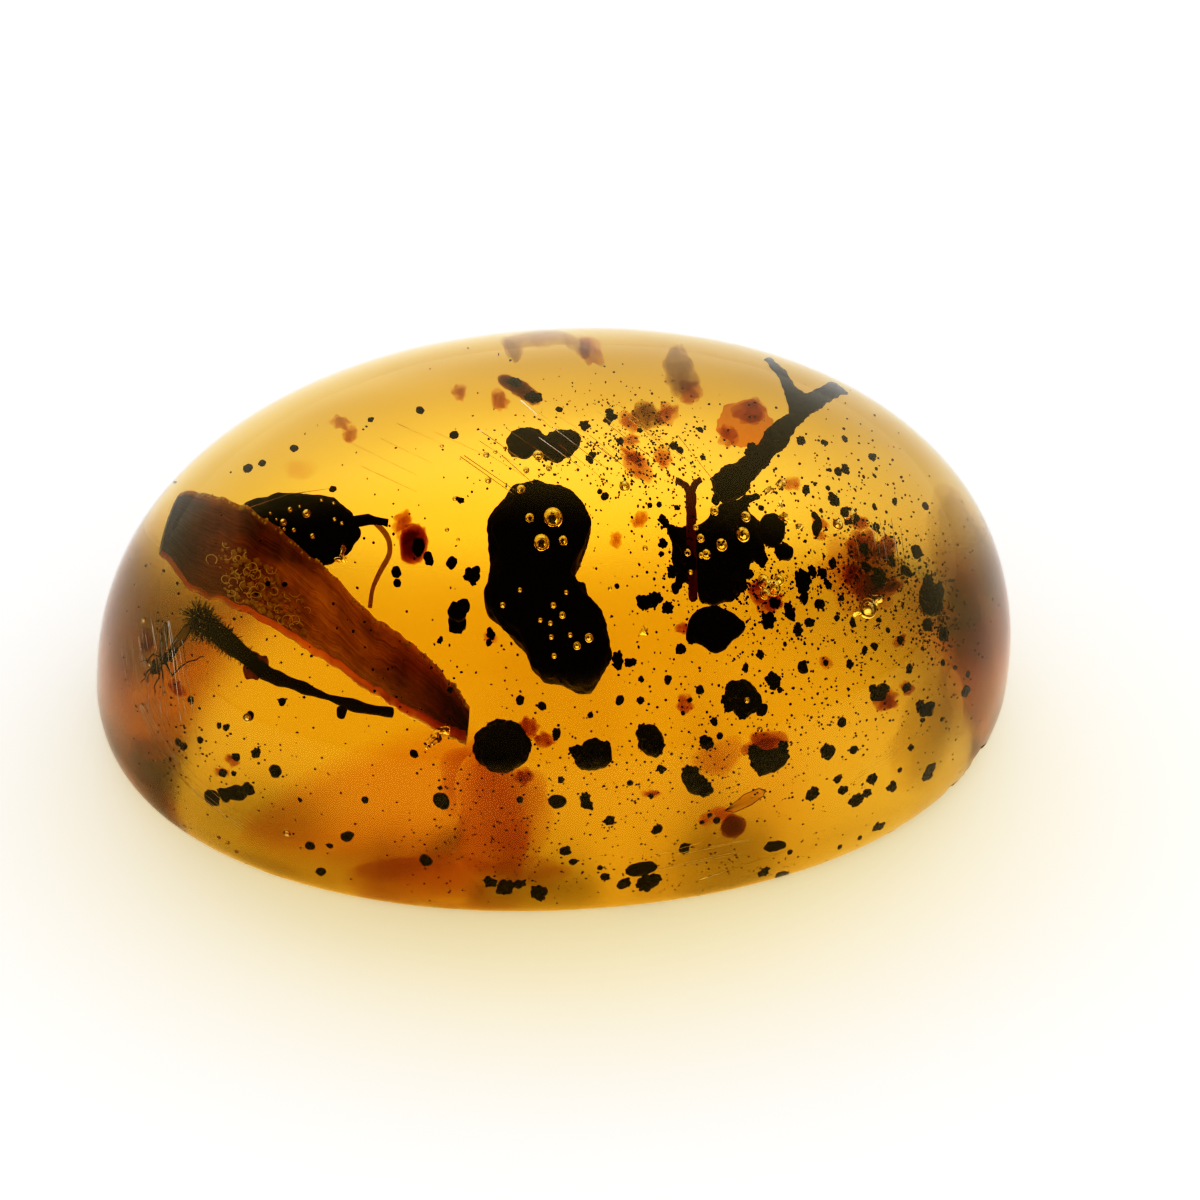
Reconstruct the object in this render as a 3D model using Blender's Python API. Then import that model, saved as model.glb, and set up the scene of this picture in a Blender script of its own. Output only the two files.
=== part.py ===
"""Insect in copal: a polished oval dome of honey-yellow copal with bark, twigs, crumbs and two tiny insects in it.

Metres, +Z up. The long axis is X. The origin lies under the middle of the stone, on the surface that it rests on.
The stone is parted along a sloping bed, and each sealed piece lies in a pocket of its own in the two halves.
"""

import math

import bmesh
import bpy
from mathutils import Euler, Matrix, Vector, noise

MM = 0.001

# The stone
LENGTH = 25.0 * MM
WIDTH = 16.8 * MM
HEIGHT = 10.2 * MM
GIRDLE_HEIGHT = 1.2 * MM  # the widest line round the stone
BASE_SHARE = 0.965  # the flat base's size, as a share of the girdle's
DOME_POWER = 2.3  # 2 would be an ellipse, and more is boxier
PLAN_POWER = 2.08
SEGMENTS = 48
DOME_RINGS = 8

# The bed that the stone is parted along, which rises towards the back
BED_HEIGHT = 3.6 * MM  # at the middle of the stone
BED_SLOPE = 0.36
GAP = 0.3 * MM  # between the halves, and round each sealed piece
POCKET_GAP = 0.38 * MM  # what a pocket starts with, before it is simplified
POCKET_FACES = 18
VENT = 0.3 * MM  # half the width of the opening from a pocket to the bed

# Chips along the right of the base's edge: place, size and turn in degrees
CHIPS = (
    ((11.8, -2.9, 0.3), (0.35, 0.45, 0.5), 15),
    ((11.2, -4.2, 0.2), (0.75, 0.9, 0.6), 30),
    ((10.3, -5.2, 0.1), (0.6, 0.6, 0.4), 40),
    ((8.6, -6.5, 0.0), (0.9, 0.4, 0.35), 30),
)

# The strip of bark: stations along it, each with its upper edge and its lower edge
STRIP_EDGES = (
    ((-9.3, 2.6, 5.2), (-10.2, 0.9, 5.2)),
    ((-8.3, 2.3, 4.8), (-9.4, -0.3, 4.9)),
    ((-7.4, 2.0, 4.4), (-8.1, -0.7, 4.5)),
    ((-6.5, 1.4, 4.0), (-7.0, -1.0, 4.0)),
    ((-5.6, 0.7, 3.6), (-6.0, -1.4, 3.5)),
    ((-4.6, 0.0, 3.0), (-5.0, -1.6, 2.9)),
    ((-3.7, -0.1, 2.4), (-4.1, -1.6, 2.3)),
    ((-2.9, -0.4, 1.8), (-3.2, -1.5, 1.7)),
    ((-2.4, -0.8, 1.4), (-2.6, -1.4, 1.4)),
)
STRIP_THICKNESS = 0.24 * MM
STRIP_SAG = 0.22 * MM  # how far its middle lies under its edges

# Crumbs of wood, bark and soil: centre, half sizes and turn in degrees
CRUMBS = (
    ((0.1, -3.4, 2.2), (0.52, 0.36, 0.32), 15),
    ((1.5, -3.3, 2.4), (0.30, 0.46, 0.30), 30),
    ((3.8, -2.8, 2.9), (0.50, 0.42, 0.34), -35),
    ((2.5, -4.5, 2.0), (0.26, 0.48, 0.28), 35),
    ((4.4, -4.2, 2.2), (0.50, 0.34, 0.30), 20),
    ((7.2, -2.7, 2.6), (0.32, 0.24, 0.24), 0),
    ((8.6, -3.3, 2.4), (0.32, 0.18, 0.22), 25),
    ((5.5, -5.2, 1.7), (0.26, 0.18, 0.18), 30),
    ((6.8, -5.7, 1.5), (0.34, 0.17, 0.17), 25),
    ((7.8, -4.9, 1.2), (0.20, 0.16, 0.18), 40),
    ((5.9, -4.0, 2.1), (0.26, 0.18, 0.18), 20),
    ((8.9, -4.4, 1.2), (0.20, 0.26, 0.20), 0),
    ((8.6, -0.8, 3.3), (0.34, 0.42, 0.32), 10),
    ((7.3, -0.2, 3.6), (0.80, 0.60, 0.40), -20),
    ((-3.8, -4.6, 2.0), (0.22, 0.36, 0.26), 20),
    ((-6.4, -5.5, 1.5), (0.26, 0.24, 0.22), 0),
    ((-8.9, -3.7, 1.6), (0.52, 0.20, 0.22), 15),
    ((-2.8, -0.7, 3.4), (0.32, 0.30, 0.24), 40),
    ((1.0, -7.0, 0.9), (0.50, 0.26, 0.24), 10),
    ((4.6, -6.6, 0.9), (0.40, 0.22, 0.20), -15),
    ((5.1, -0.8, 4.8), (0.28, 0.26, 0.24), 0),
    ((3.9, -1.4, 4.7), (0.26, 0.24, 0.20), 30),
    ((-6.0, -2.9, 3.4), (0.22, 0.18, 0.20), 20),
    ((-4.6, -6.7, 1.4), (0.20, 0.24, 0.22), 10),
    ((-1.1, -5.6, 2.5), (0.30, 0.22, 0.22), -20),
    ((2.1, -7.2, 1.6), (0.26, 0.20, 0.22), 30),
    ((1.4, -6.4, 1.9), (0.24, 0.16, 0.16), 0),
    ((5.3, -3.3, 4.0), (0.22, 0.20, 0.20), 0),
    ((8.7, -2.7, 4.4), (0.22, 0.22, 0.20), 0),
    ((9.0, -2.0, 3.4), (0.20, 0.22, 0.18), 20),
    ((6.3, -4.4, 3.2), (0.20, 0.18, 0.18), 0),
    ((4.2, -4.0, 3.5), (0.22, 0.18, 0.18), 30),
    ((6.0, -0.2, 4.8), (0.16, 0.40, 0.16), -25),
    ((6.9, -0.1, 5.1), (0.22, 0.24, 0.16), 15),
    ((-8.4, -3.0, 3.4), (0.24, 0.16, 0.16), 20),
    ((8.6, -1.5, 5.5), (0.22, 0.24, 0.18), 40),
    ((8.1, -1.0, 4.3), (0.28, 0.16, 0.16), -35),
)
COARSE_CRUMB = 0.3  # the mean half size, in millimetres, from which a crumb has more faces


def to_m(point):
    return Vector(point) * MM


def clear_scene():
    for thing in list(bpy.data.objects):
        bpy.data.objects.remove(thing, do_unlink=True)


def finish(name, colour, roughness=0.6, clear=0.0):
    """A Principled material of its own for each piece."""
    material = bpy.data.materials.new(name)
    material.use_nodes = True
    shader = material.node_tree.nodes["Principled BSDF"]
    shader.inputs["Base Color"].default_value = (*colour, 1.0)
    shader.inputs["Roughness"].default_value = roughness
    shader.inputs["Transmission Weight"].default_value = clear
    shader.inputs["IOR"].default_value = 1.54
    return material


def add_object(name, bm, helper=False):
    """Makes an object of the mesh. A helper is a cutter, or a shape that is fused into another."""
    bmesh.ops.recalc_face_normals(bm, faces=bm.faces)
    mesh = bpy.data.meshes.new(name)
    bm.to_mesh(mesh)
    bm.free()
    thing = bpy.data.objects.new(name, mesh)
    bpy.context.scene.collection.objects.link(thing)
    thing.hide_render = helper
    if helper:
        thing.display_type = "WIRE"
    return thing


def boolean(thing, operation, other):
    modifier = thing.modifiers.new(other.name, "BOOLEAN")
    modifier.operation = operation
    modifier.object = other
    modifier.solver = "EXACT"


def sealed_piece(name, shapes, colour, roughness=0.6, clear=0.0):
    """One object of one shape, or of several shapes that overlap, fused."""
    thing = add_object(name, shapes[0])
    for number, shape in enumerate(shapes[1:], 1):
        boolean(thing, "UNION", add_object(f"{name}_shape_{number}", shape, helper=True))
    thing.data.materials.append(finish(name, colour, roughness, clear))
    return thing


# Shapes


def grain(centre, half_sizes, turn=0.0, detail=2, rough=0.16, seed=0, tilt=0.0):
    """A knobbly grain: a ball that is stretched, then pushed in and out."""
    bm = bmesh.new()
    bmesh.ops.create_icosphere(bm, subdivisions=detail, radius=1.0)
    turned = Euler((math.radians(tilt), 0.0, math.radians(turn))).to_matrix()
    for vertex in bm.verts:
        push = 1.0 + rough * noise.noise(vertex.co * 1.9 + Vector((seed * 7.3, seed * 3.1, 0.0)))
        local = Vector(a * b for a, b in zip(vertex.co, half_sizes)) * push
        vertex.co = to_m(centre) + (turned @ local) * MM
    return bm


def smooth_path(points, steps=4):
    """A curve through the points, with more points on it."""
    ends = [points[0] * 2 - points[1], *points, points[-1] * 2 - points[-2]]
    path = []
    for a, b, c, d in zip(ends, ends[1:], ends[2:], ends[3:]):
        for step in range(steps):
            t = step / steps
            path.append(
                0.5 * (2 * b + (c - a) * t + (2 * a - 5 * b + 4 * c - d) * t * t + (3 * b - a - 3 * c + d) * t**3)
            )
    return [*path, points[-1]]


def tube(points, first_radius, last_radius, sides=6, steps=2, knots=0.0, seed=0):
    """A twig, a leg or a feeler: a tapered tube along a smooth path, with swellings if it has knots."""
    path = smooth_path([to_m(p) for p in points], steps)
    bm = bmesh.new()
    side = Vector((0.31, 0.17, 0.93))
    rings = []
    for number, centre in enumerate(path):
        ahead = path[min(number + 1, len(path) - 1)] - path[max(number - 1, 0)]
        side = (side - ahead * side.dot(ahead) / ahead.length_squared).normalized()
        across = ahead.cross(side).normalized()
        share = number / (len(path) - 1)
        radius = (first_radius + (last_radius - first_radius) * share) * MM
        radius *= 1.0 + knots * noise.noise(Vector((number * 0.9, seed * 5.7, 0.4)))
        ring = []
        for step in range(sides):
            angle = 2 * math.pi * step / sides
            ring.append(bm.verts.new(centre + radius * (side * math.cos(angle) + across * math.sin(angle))))
        rings.append(ring)
    for ring, after in zip(rings, rings[1:]):
        for step in range(sides):
            ahead = (step + 1) % sides
            bm.faces.new((ring[step], ring[ahead], after[ahead], after[step]))
    bm.faces.new(rings[0][::-1])
    bm.faces.new(rings[-1])
    return bm


def bed(y):
    """The height of the bed at a distance y from the stone's middle, in millimetres."""
    return BED_HEIGHT / MM + BED_SLOPE * y


def inset(outline, distance):
    """The outline moved inwards by a distance. The outline runs anticlockwise."""
    moved = []
    for before, here, after in zip([outline[-1], *outline], outline, [*outline[1:], outline[0]]):
        first = (Vector(here) - Vector(before)).normalized()
        second = (Vector(after) - Vector(here)).normalized()
        inward = Vector((-first.y - second.y, first.x + second.x))
        spread = max(inward.length, 1.2)
        moved.append(Vector(here) + inward / spread * distance * 2 / spread)
    return moved


def flake(outline, lift, thickness, bevel, tilt=0.0):
    """A flat piece that lies along the bed: thick within its outline and thin at its edge."""
    middle = sum((Vector(p) for p in outline), Vector((0.0, 0.0))) / len(outline)
    bm = bmesh.new()
    layers = []
    for share, level in ((0.0, 0.0), (1.0, 0.5), (1.0, -0.5)):
        layer = []
        for point in inset(outline, bevel * share):
            height = bed(point.y) + lift + level * thickness + tilt * (point.x - middle.x)
            layer.append(bm.verts.new(to_m((point.x, point.y, height))))
        layers.append(layer)
    rim, above, below = layers
    bm.faces.new(above)
    bm.faces.new(below[::-1])
    for number in range(len(outline)):
        after = (number + 1) % len(outline)
        bm.faces.new((rim[number], rim[after], above[after], above[number]))
        bm.faces.new((rim[after], rim[number], below[number], below[after]))
    bmesh.ops.triangulate(bm, faces=bm.faces)
    return bm


def sheet(outline, thickness):
    """A thin wing, drawn flat in millimetres and centred on its own plane."""
    bm = bmesh.new()
    for height in (-0.5 * thickness, 0.5 * thickness):
        bm.faces.new([bm.verts.new(to_m((x, y, height))) for x, y in outline])
    bm.faces.ensure_lookup_table()
    low, high = bm.faces[0], bm.faces[1]
    for number in range(len(outline)):
        after = (number + 1) % len(outline)
        bm.faces.new((low.verts[number], low.verts[after], high.verts[after], high.verts[number]))
    return bm


def facing(shapes, place, azimuth, elevation, turn=0.0):
    """Turns shapes that were made flat so that their +Z looks out at an angle, and puts them in place."""
    turned = Matrix.Rotation(math.radians(azimuth), 4, "Z") @ Matrix.Rotation(math.radians(90 - elevation), 4, "X")
    turned = turned @ Matrix.Rotation(math.radians(turn), 4, "Z")
    placed = Matrix.Translation(to_m(place)) @ turned
    for shape in shapes:
        bmesh.ops.transform(shape, matrix=placed, verts=shape.verts)
    return shapes


# The sealed pieces


def bark_strip():
    """A strip of bark, wide at its upper end and narrow at its lower end, and slightly hollow along its face."""
    bm = bmesh.new()
    stations = []
    for upper, lower in STRIP_EDGES:
        edge, other = to_m(upper), to_m(lower)
        middle = (edge + other) / 2 - Vector((0.0, 0.0, STRIP_SAG))
        drop = Vector((0.0, 0.0, STRIP_THICKNESS))
        stations.append([bm.verts.new(p) for p in (edge, middle, other, other - drop, middle - drop, edge - drop)])
    for here, after in zip(stations, stations[1:]):
        for number in range(6):
            ahead = (number + 1) % 6
            bm.faces.new((here[number], here[ahead], after[ahead], after[number]))
    bm.faces.new(stations[0][::-1])
    bm.faces.new(stations[-1])
    bmesh.ops.triangulate(bm, faces=bm.faces)
    return sealed_piece("bark_strip", [bm], (0.09, 0.022, 0.008), 0.5)


def seed():
    """A flattened dark seed with its stalk and a tendril that hangs from it."""
    body = grain((-5.7, 2.25, 2.85), (1.25, 0.66, 0.42), turn=-12, rough=0.12, seed=1, tilt=18)
    stalk = tube(((-4.9, 2.2, 2.8), (-4.2, 2.25, 2.8), (-3.8, 2.1, 2.85)), 0.10, 0.06)
    tendril = tube(
        ((-4.1, 2.22, 2.8), (-3.85, 1.9, 2.75), (-3.85, 1.6, 2.7), (-4.1, 1.35, 2.6), (-4.3, 1.1, 2.5), (-4.4, 0.8, 2.4)),
        0.07,
        0.05,
    )
    sealed_piece("seed", [body, stalk, tendril], (0.010, 0.006, 0.003), 0.45)


def black_lump():
    """The biggest black lump, which runs from a broad head to a ragged tail."""
    outline = (
        (-1.8, -0.1), (-1.9, -0.5), (-1.6, -0.9), (-1.2, -1.2), (-1.2, -1.5), (-0.8, -1.8), (-0.3, -2.0),
        (0.2, -2.15), (0.4, -1.95), (0.7, -1.6), (0.75, -1.1), (0.7, -0.8), (0.4, -0.5), (0.3, -0.1),
        (0.0, 0.0), (0.3, 0.4), (0.65, 0.9), (0.5, 1.25), (0.1, 1.6), (-0.7, 1.7), (-1.3, 1.65), (-1.7, 1.2), (-1.75, 0.5),
    )
    sealed_piece("black_lump", [flake(outline, 0.0, 1.1, 0.30)], (0.006, 0.005, 0.004), 0.5)


def upper_debris():
    """Two lobes of black debris above the lump's head."""
    left = grain((-0.65, 2.5, 4.55), (0.52, 0.42, 0.34), turn=10, seed=4)
    right = grain((0.2, 2.4, 4.45), (0.58, 0.40, 0.32), turn=25, seed=5)
    sealed_piece("upper_debris", [left, right], (0.012, 0.007, 0.004), 0.6)


def rear_twig():
    """A thick charred twig that runs back through the stone, with a stub on its side."""
    stem = tube(
        ((3.7, 0.9, 4.6), (4.2, 1.1, 4.7), (4.7, 1.4, 4.8), (5.2, 1.8, 4.9), (5.7, 2.3, 5.0), (6.5, 3.0, 5.1), (7.4, 3.6, 5.1)),
        0.36,
        0.22,
        sides=7,
        knots=0.5,
        seed=3,
    )
    stub = tube(((6.1, 2.7, 5.05), (6.0, 3.5, 5.1), (5.7, 4.3, 5.1)), 0.24, 0.14)
    sealed_piece("rear_twig", [stem, stub], (0.008, 0.005, 0.003), 0.6)


def rear_flake():
    """An orange scrap of leaf behind the charred twig."""
    outline = ((4.0, 3.1), (4.5, 2.7), (5.2, 2.8), (5.5, 3.3), (5.1, 3.8), (4.4, 3.7))
    sealed_piece("rear_flake", [flake(outline, -1.3, 0.22, 0.08)], (0.30, 0.08, 0.015), 0.5)


def wood_tangle():
    """A tangle of charred wood: lumps and sticks that grew or clotted together."""
    shapes = [
        grain((3.1, 0.75, 3.0), (0.60, 0.55, 0.42), turn=20, seed=6, rough=0.3),
        grain((4.1, 1.0, 3.1), (0.72, 0.52, 0.42), turn=-10, seed=7, rough=0.3),
        grain((3.6, 0.25, 2.85), (0.62, 0.40, 0.36), turn=15, seed=8, rough=0.3),
        tube(((2.5, 0.2, 2.7), (3.2, 0.9, 3.1), (3.9, 1.4, 3.3), (4.8, 1.6, 3.4)), 0.13, 0.10, knots=0.4, seed=9),
        tube(((2.5, 1.25, 3.1), (3.4, 0.9, 3.2), (4.3, 0.3, 3.0)), 0.12, 0.09, knots=0.4, seed=10),
    ]
    sealed_piece("wood_tangle", shapes, (0.010, 0.006, 0.003), 0.6)


def corner_chip():
    """A black chip with straight sides, beside the tangle."""
    outline = ((4.75, 0.0), (5.0, -0.2), (5.3, -0.05), (5.45, 0.2), (5.3, 0.55), (4.95, 0.6), (4.7, 0.3))
    sealed_piece("corner_chip", [flake(outline, 0.5, 0.34, 0.08)], (0.006, 0.005, 0.004), 0.5)


def thin_stem():
    """A thin reddish stem that stands in front of the tangle, with a forked tip."""
    shaft = tube(((3.1, 0.85, 4.7), (3.0, 0.3, 4.5), (2.9, -0.4, 4.25), (2.8, -1.15, 4.0)), 0.13, 0.11, knots=0.25, seed=2)
    left = tube(((3.1, 0.75, 4.65), (3.0, 1.0, 4.75), (2.8, 1.1, 4.8)), 0.09, 0.07, sides=5)
    right = tube(((3.1, 0.75, 4.65), (3.2, 1.0, 4.75), (3.4, 1.1, 4.8)), 0.09, 0.06, sides=5)
    sealed_piece("thin_stem", [shaft, left, right], (0.05, 0.010, 0.006), 0.5)


def black_flake():
    """A black flake of bark with a ragged lower edge."""
    outline = (
        (2.6, -1.3), (2.55, -1.7), (2.95, -1.75), (3.2, -2.0), (3.5, -1.9), (3.7, -1.65), (4.0, -1.55), (4.0, -1.35),
        (3.7, -1.15), (3.4, -1.05), (2.9, -1.05),
    )
    sealed_piece("black_flake", [flake(outline, 0.2, 0.30, 0.10)], (0.006, 0.005, 0.004), 0.5)


def hairy_twig():
    """A hairy twig with a reddish end, and the thin jointed branch that runs on under the strip of bark."""
    thick = tube(((-8.7, 0.1, 3.3), (-8.3, -0.15, 3.2), (-7.9, -0.45, 3.05), (-7.5, -0.75, 2.9)), 0.17, 0.20, knots=0.3)
    branch = tube(
        ((-7.7, -0.6, 2.95), (-7.2, -0.85, 2.7), (-6.5, -0.95, 2.45), (-5.7, -0.95, 2.1), (-4.9, -0.95, 1.8), (-4.2, -0.9, 1.6)),
        0.09,
        0.07,
        steps=3,
        knots=0.5,
        seed=4,
    )
    sealed_piece("hairy_twig", [thick, branch], (0.035, 0.016, 0.006), 0.7)


def leaf_scrap():
    """A small reddish scrap beside the tendril."""
    body = grain((-3.35, 1.5, 3.0), (0.36, 0.46, 0.22), turn=-20, seed=12, rough=0.35)
    sealed_piece("leaf_scrap", [body], (0.10, 0.025, 0.010), 0.6)


def rear_scraps():
    """Brown scraps deep in the back of the stone: a curled one, a stick, and three clots of crumbled bark."""
    curl = tube(((-0.4, 5.2, 3.8), (0.1, 5.4, 3.7), (1.0, 5.4, 3.7), (1.5, 5.0, 3.9)), 0.22, 0.16, knots=0.5, seed=6)
    sealed_piece("rear_curl", [curl], (0.12, 0.05, 0.02), 0.6)
    stick = tube(((-0.9, 4.4, 4.5), (-0.5, 3.9, 4.9), (-0.15, 3.4, 5.05)), 0.18, 0.24, knots=0.4, seed=7)
    sealed_piece("rear_stick", [stick], (0.06, 0.02, 0.008), 0.6)
    for name, centre, half_sizes, turn in (
        ("rear_clot", (3.5, 4.4, 3.9), (0.42, 0.62, 0.34), -10),
        ("upper_clot", (2.5, 3.0, 4.6), (0.34, 0.46, 0.28), 0),
        ("red_clot", (2.0, 1.6, 4.6), (0.42, 0.30, 0.24), -40),
    ):
        body = grain(centre, half_sizes, turn=turn, rough=0.4, seed=len(name))
        sealed_piece(name, [body], (0.10, 0.03, 0.010), 0.6)


def end_knot():
    """A round black knot in front of the strip's lower end."""
    body = grain((-2.05, -2.95, 2.25), (0.70, 0.66, 0.50), turn=20, seed=13, rough=0.14)
    sealed_piece("end_knot", [body], (0.006, 0.005, 0.004), 0.5)


def midge():
    """A midge: a round dark thorax, a slim body, two wings, two feelers and six legs."""
    shapes = [
        grain((-0.17, -0.14, 0.0), (0.16, 0.18, 0.15), rough=0.05),
        grain((0.03, 0.10, 0.0), (0.30, 0.11, 0.11), turn=48, rough=0.05),
        grain((-0.26, -0.28, 0.02), (0.08, 0.08, 0.08), detail=1, rough=0.0),
        sheet(((0.06, 0.20), (0.16, 0.24), (0.40, 0.55), (0.50, 0.86), (0.42, 1.00), (0.28, 0.86), (0.12, 0.50)), 0.03),
        sheet(((-0.12, 0.02), (-0.04, 0.06), (-0.02, 0.40), (-0.10, 0.76), (-0.22, 0.86), (-0.28, 0.70), (-0.20, 0.30)), 0.03),
    ]
    legs = (
        ((0.02, 0.02, 0.0), (0.28, -0.22, 0.05), (0.55, 0.14, 0.05), (0.98, 0.44, 0.0)),
        ((-0.08, -0.08, 0.0), (0.04, -0.28, 0.04), (0.10, -0.50, 0.02), (0.16, -0.72, 0.0)),
        ((0.10, 0.14, 0.0), (0.30, 0.10, 0.06), (0.34, -0.14, 0.05), (0.42, -0.34, 0.0)),
        ((-0.10, -0.10, -0.05), (-0.02, -0.35, -0.20), (-0.10, -0.55, -0.30), (-0.04, -0.75, -0.35)),
        ((0.00, 0.04, -0.05), (-0.30, 0.10, -0.25), (-0.42, -0.08, -0.35), (-0.60, -0.16, -0.40)),
        ((-0.22, -0.20, 0.05), (-0.42, -0.34, 0.16), (-0.46, -0.54, 0.15), (-0.56, -0.66, 0.10)),
        ((-0.28, -0.28, 0.0), (-0.40, -0.22, 0.05), (-0.52, -0.06, 0.08)),
        ((-0.28, -0.30, 0.0), (-0.36, -0.42, 0.02), (-0.36, -0.60, 0.04)),
    )
    shapes += [tube(leg, 0.028, 0.018, sides=4, steps=1) for leg in legs]
    facing(shapes, (-10.05, -0.95, 3.3), -30, 42)
    sealed_piece("midge", shapes, (0.020, 0.010, 0.006), 0.5)


def barklouse():
    """A barklouse: a reddish head and humped thorax, a dark round abdomen, long feelers, a wing and six legs."""
    shapes = [
        grain((0.02, 0.18, 0.0), (0.36, 0.22, 0.22), turn=-18, rough=0.05),
        grain((-0.38, 0.10, 0.0), (0.22, 0.20, 0.19), rough=0.05),
        grain((0.33, -0.18, 0.0), (0.34, 0.33, 0.30), turn=-30, rough=0.05),
        sheet(((0.10, 0.28), (0.34, 0.20), (0.80, 0.36), (1.10, 0.56), (1.16, 0.70), (0.98, 0.78), (0.60, 0.66)), 0.03),
    ]
    legs = (
        ((-0.45, 0.24, 0.05), (-0.62, 0.44, 0.06), (-0.92, 0.43, 0.05), (-1.22, 0.45, 0.0)),
        ((-0.52, 0.14, 0.08), (-0.66, 0.10, 0.10), (-0.84, 0.24, 0.08), (-0.98, 0.36, 0.05)),
        ((-0.24, 0.06, 0.05), (-0.42, -0.16, 0.10), (-0.36, -0.52, 0.06), (-0.32, -0.74, 0.0)),
        ((0.00, 0.02, 0.10), (-0.14, -0.28, 0.18), (-0.04, -0.56, 0.12), (0.04, -0.78, 0.05)),
        ((0.20, 0.20, 0.05), (0.50, 0.20, 0.16), (0.80, 0.38, 0.10), (1.06, 0.56, 0.0)),
        ((-0.20, 0.04, -0.10), (-0.34, -0.26, -0.25), (-0.18, -0.52, -0.30), (-0.22, -0.76, -0.35)),
        ((0.05, 0.05, -0.12), (0.06, -0.30, -0.35), (0.20, -0.60, -0.35), (0.16, -0.84, -0.40)),
        ((0.20, 0.10, -0.10), (0.60, 0.04, -0.25), (0.76, -0.26, -0.25), (0.92, -0.46, -0.30)),
    )
    shapes += [tube(leg, 0.028, 0.018, sides=4, steps=1) for leg in legs]
    facing(shapes, (3.1, -6.1, 1.75), 0, 36)
    sealed_piece("barklouse", shapes, (0.13, 0.028, 0.008), 0.4)


def crumbs():
    for number, (centre, half_sizes, turn) in enumerate(CRUMBS, 1):
        detail = 2 if sum(half_sizes) / 3 >= COARSE_CRUMB else 1
        body = grain(centre, half_sizes, turn=turn, detail=detail, rough=0.4, seed=20 + number)
        sealed_piece(f"crumb_{number:02d}", [body], (0.010, 0.006, 0.003), 0.6)


# The stone


def ring(bm, height, share):
    """A ring of the stone's outline at a height, as a share of the girdle's size."""
    points = []
    for step in range(SEGMENTS):
        angle = 2 * math.pi * step / SEGMENTS
        across, along = math.cos(angle), math.sin(angle)
        x = math.copysign(abs(across) ** (2 / PLAN_POWER), across) * LENGTH / 2 * share
        y = math.copysign(abs(along) ** (2 / PLAN_POWER), along) * WIDTH / 2 * share
        points.append(bm.verts.new((x, y, height)))
    return points


def stone_shape():
    """A flat base, a short wall that widens to the girdle, and a high dome."""
    bm = bmesh.new()
    rings = []
    for rise in (0.0, 0.3, 0.65):
        share = BASE_SHARE + (1 - BASE_SHARE) * math.sqrt(1 - (1 - rise) ** 2)
        rings.append(ring(bm, GIRDLE_HEIGHT * rise, share))
    for step in range(DOME_RINGS):
        rise = math.sin(math.pi / 2 * step / DOME_RINGS)
        share = (1 - rise**DOME_POWER) ** (1 / DOME_POWER)
        rings.append(ring(bm, GIRDLE_HEIGHT + (HEIGHT - GIRDLE_HEIGHT) * rise, share))
    peak = bm.verts.new((0.0, 0.0, HEIGHT))
    for lower, upper in zip(rings, rings[1:]):
        for step in range(SEGMENTS):
            after = (step + 1) % SEGMENTS
            bm.faces.new((lower[step], lower[after], upper[after], upper[step]))
    for step in range(SEGMENTS):
        bm.faces.new((rings[-1][step], rings[-1][(step + 1) % SEGMENTS], peak))
    bmesh.ops.triangulate(bm, faces=bm.faces)
    bm.faces.new(rings[0][::-1])
    return bm


def half(name, above):
    """The stone above or below the bed, half the gap away from it."""
    bm = stone_shape()
    up = Vector((0.0, -BED_SLOPE, 1.0)).normalized()
    place = Vector((0.0, 0.0, BED_HEIGHT)) + up * (GAP / 2 if above else -GAP / 2)
    everything = bm.verts[:] + bm.edges[:] + bm.faces[:]
    bmesh.ops.bisect_plane(bm, geom=everything, plane_co=place, plane_no=up, clear_inner=above, clear_outer=not above)
    bmesh.ops.edgeloop_fill(bm, edges=[edge for edge in bm.edges if edge.is_boundary])
    thing = add_object(name, bm)
    thing.data.materials.append(finish(name, (0.95, 0.50, 0.06), 0.05, clear=1.0))
    return thing


def pocket(piece, graph):
    """A closed space round a piece that clears it by the gap on every side and opens on the bed."""
    evaluated = piece.evaluated_get(graph)
    mesh = evaluated.to_mesh()
    corners = [evaluated.matrix_world @ vertex.co for vertex in mesh.vertices]
    evaluated.to_mesh_clear()
    bm = bmesh.new()
    for corner in corners:
        for x in (-POCKET_GAP, POCKET_GAP):
            for y in (-POCKET_GAP, POCKET_GAP):
                for z in (-POCKET_GAP, POCKET_GAP):
                    bm.verts.new(corner + Vector((x, y, z)))
    middle = sum(corners, Vector()) / len(corners)
    lifts = [corner.z - bed(corner.y / MM) * MM for corner in corners]
    if max(lifts) < 0 or min(lifts) > 0:
        for x in (-VENT, VENT):
            for y in (-VENT, VENT):
                top = bed((middle.y + y) / MM) * MM
                bm.verts.new((middle.x + x, middle.y + y, top))
    hull = bmesh.ops.convex_hull(bm, input=bm.verts)
    loose = set(hull["geom_interior"] + hull["geom_unused"])
    bmesh.ops.delete(bm, geom=[item for item in loose if isinstance(item, bmesh.types.BMVert)], context="VERTS")
    bmesh.ops.triangulate(bm, faces=bm.faces)
    simpler = min(1.0, POCKET_FACES / len(bm.faces))
    space = add_object(f"{piece.name}_pocket", bm, helper=True)
    space.modifiers.new("Simpler", "DECIMATE").ratio = simpler
    return space


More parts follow.
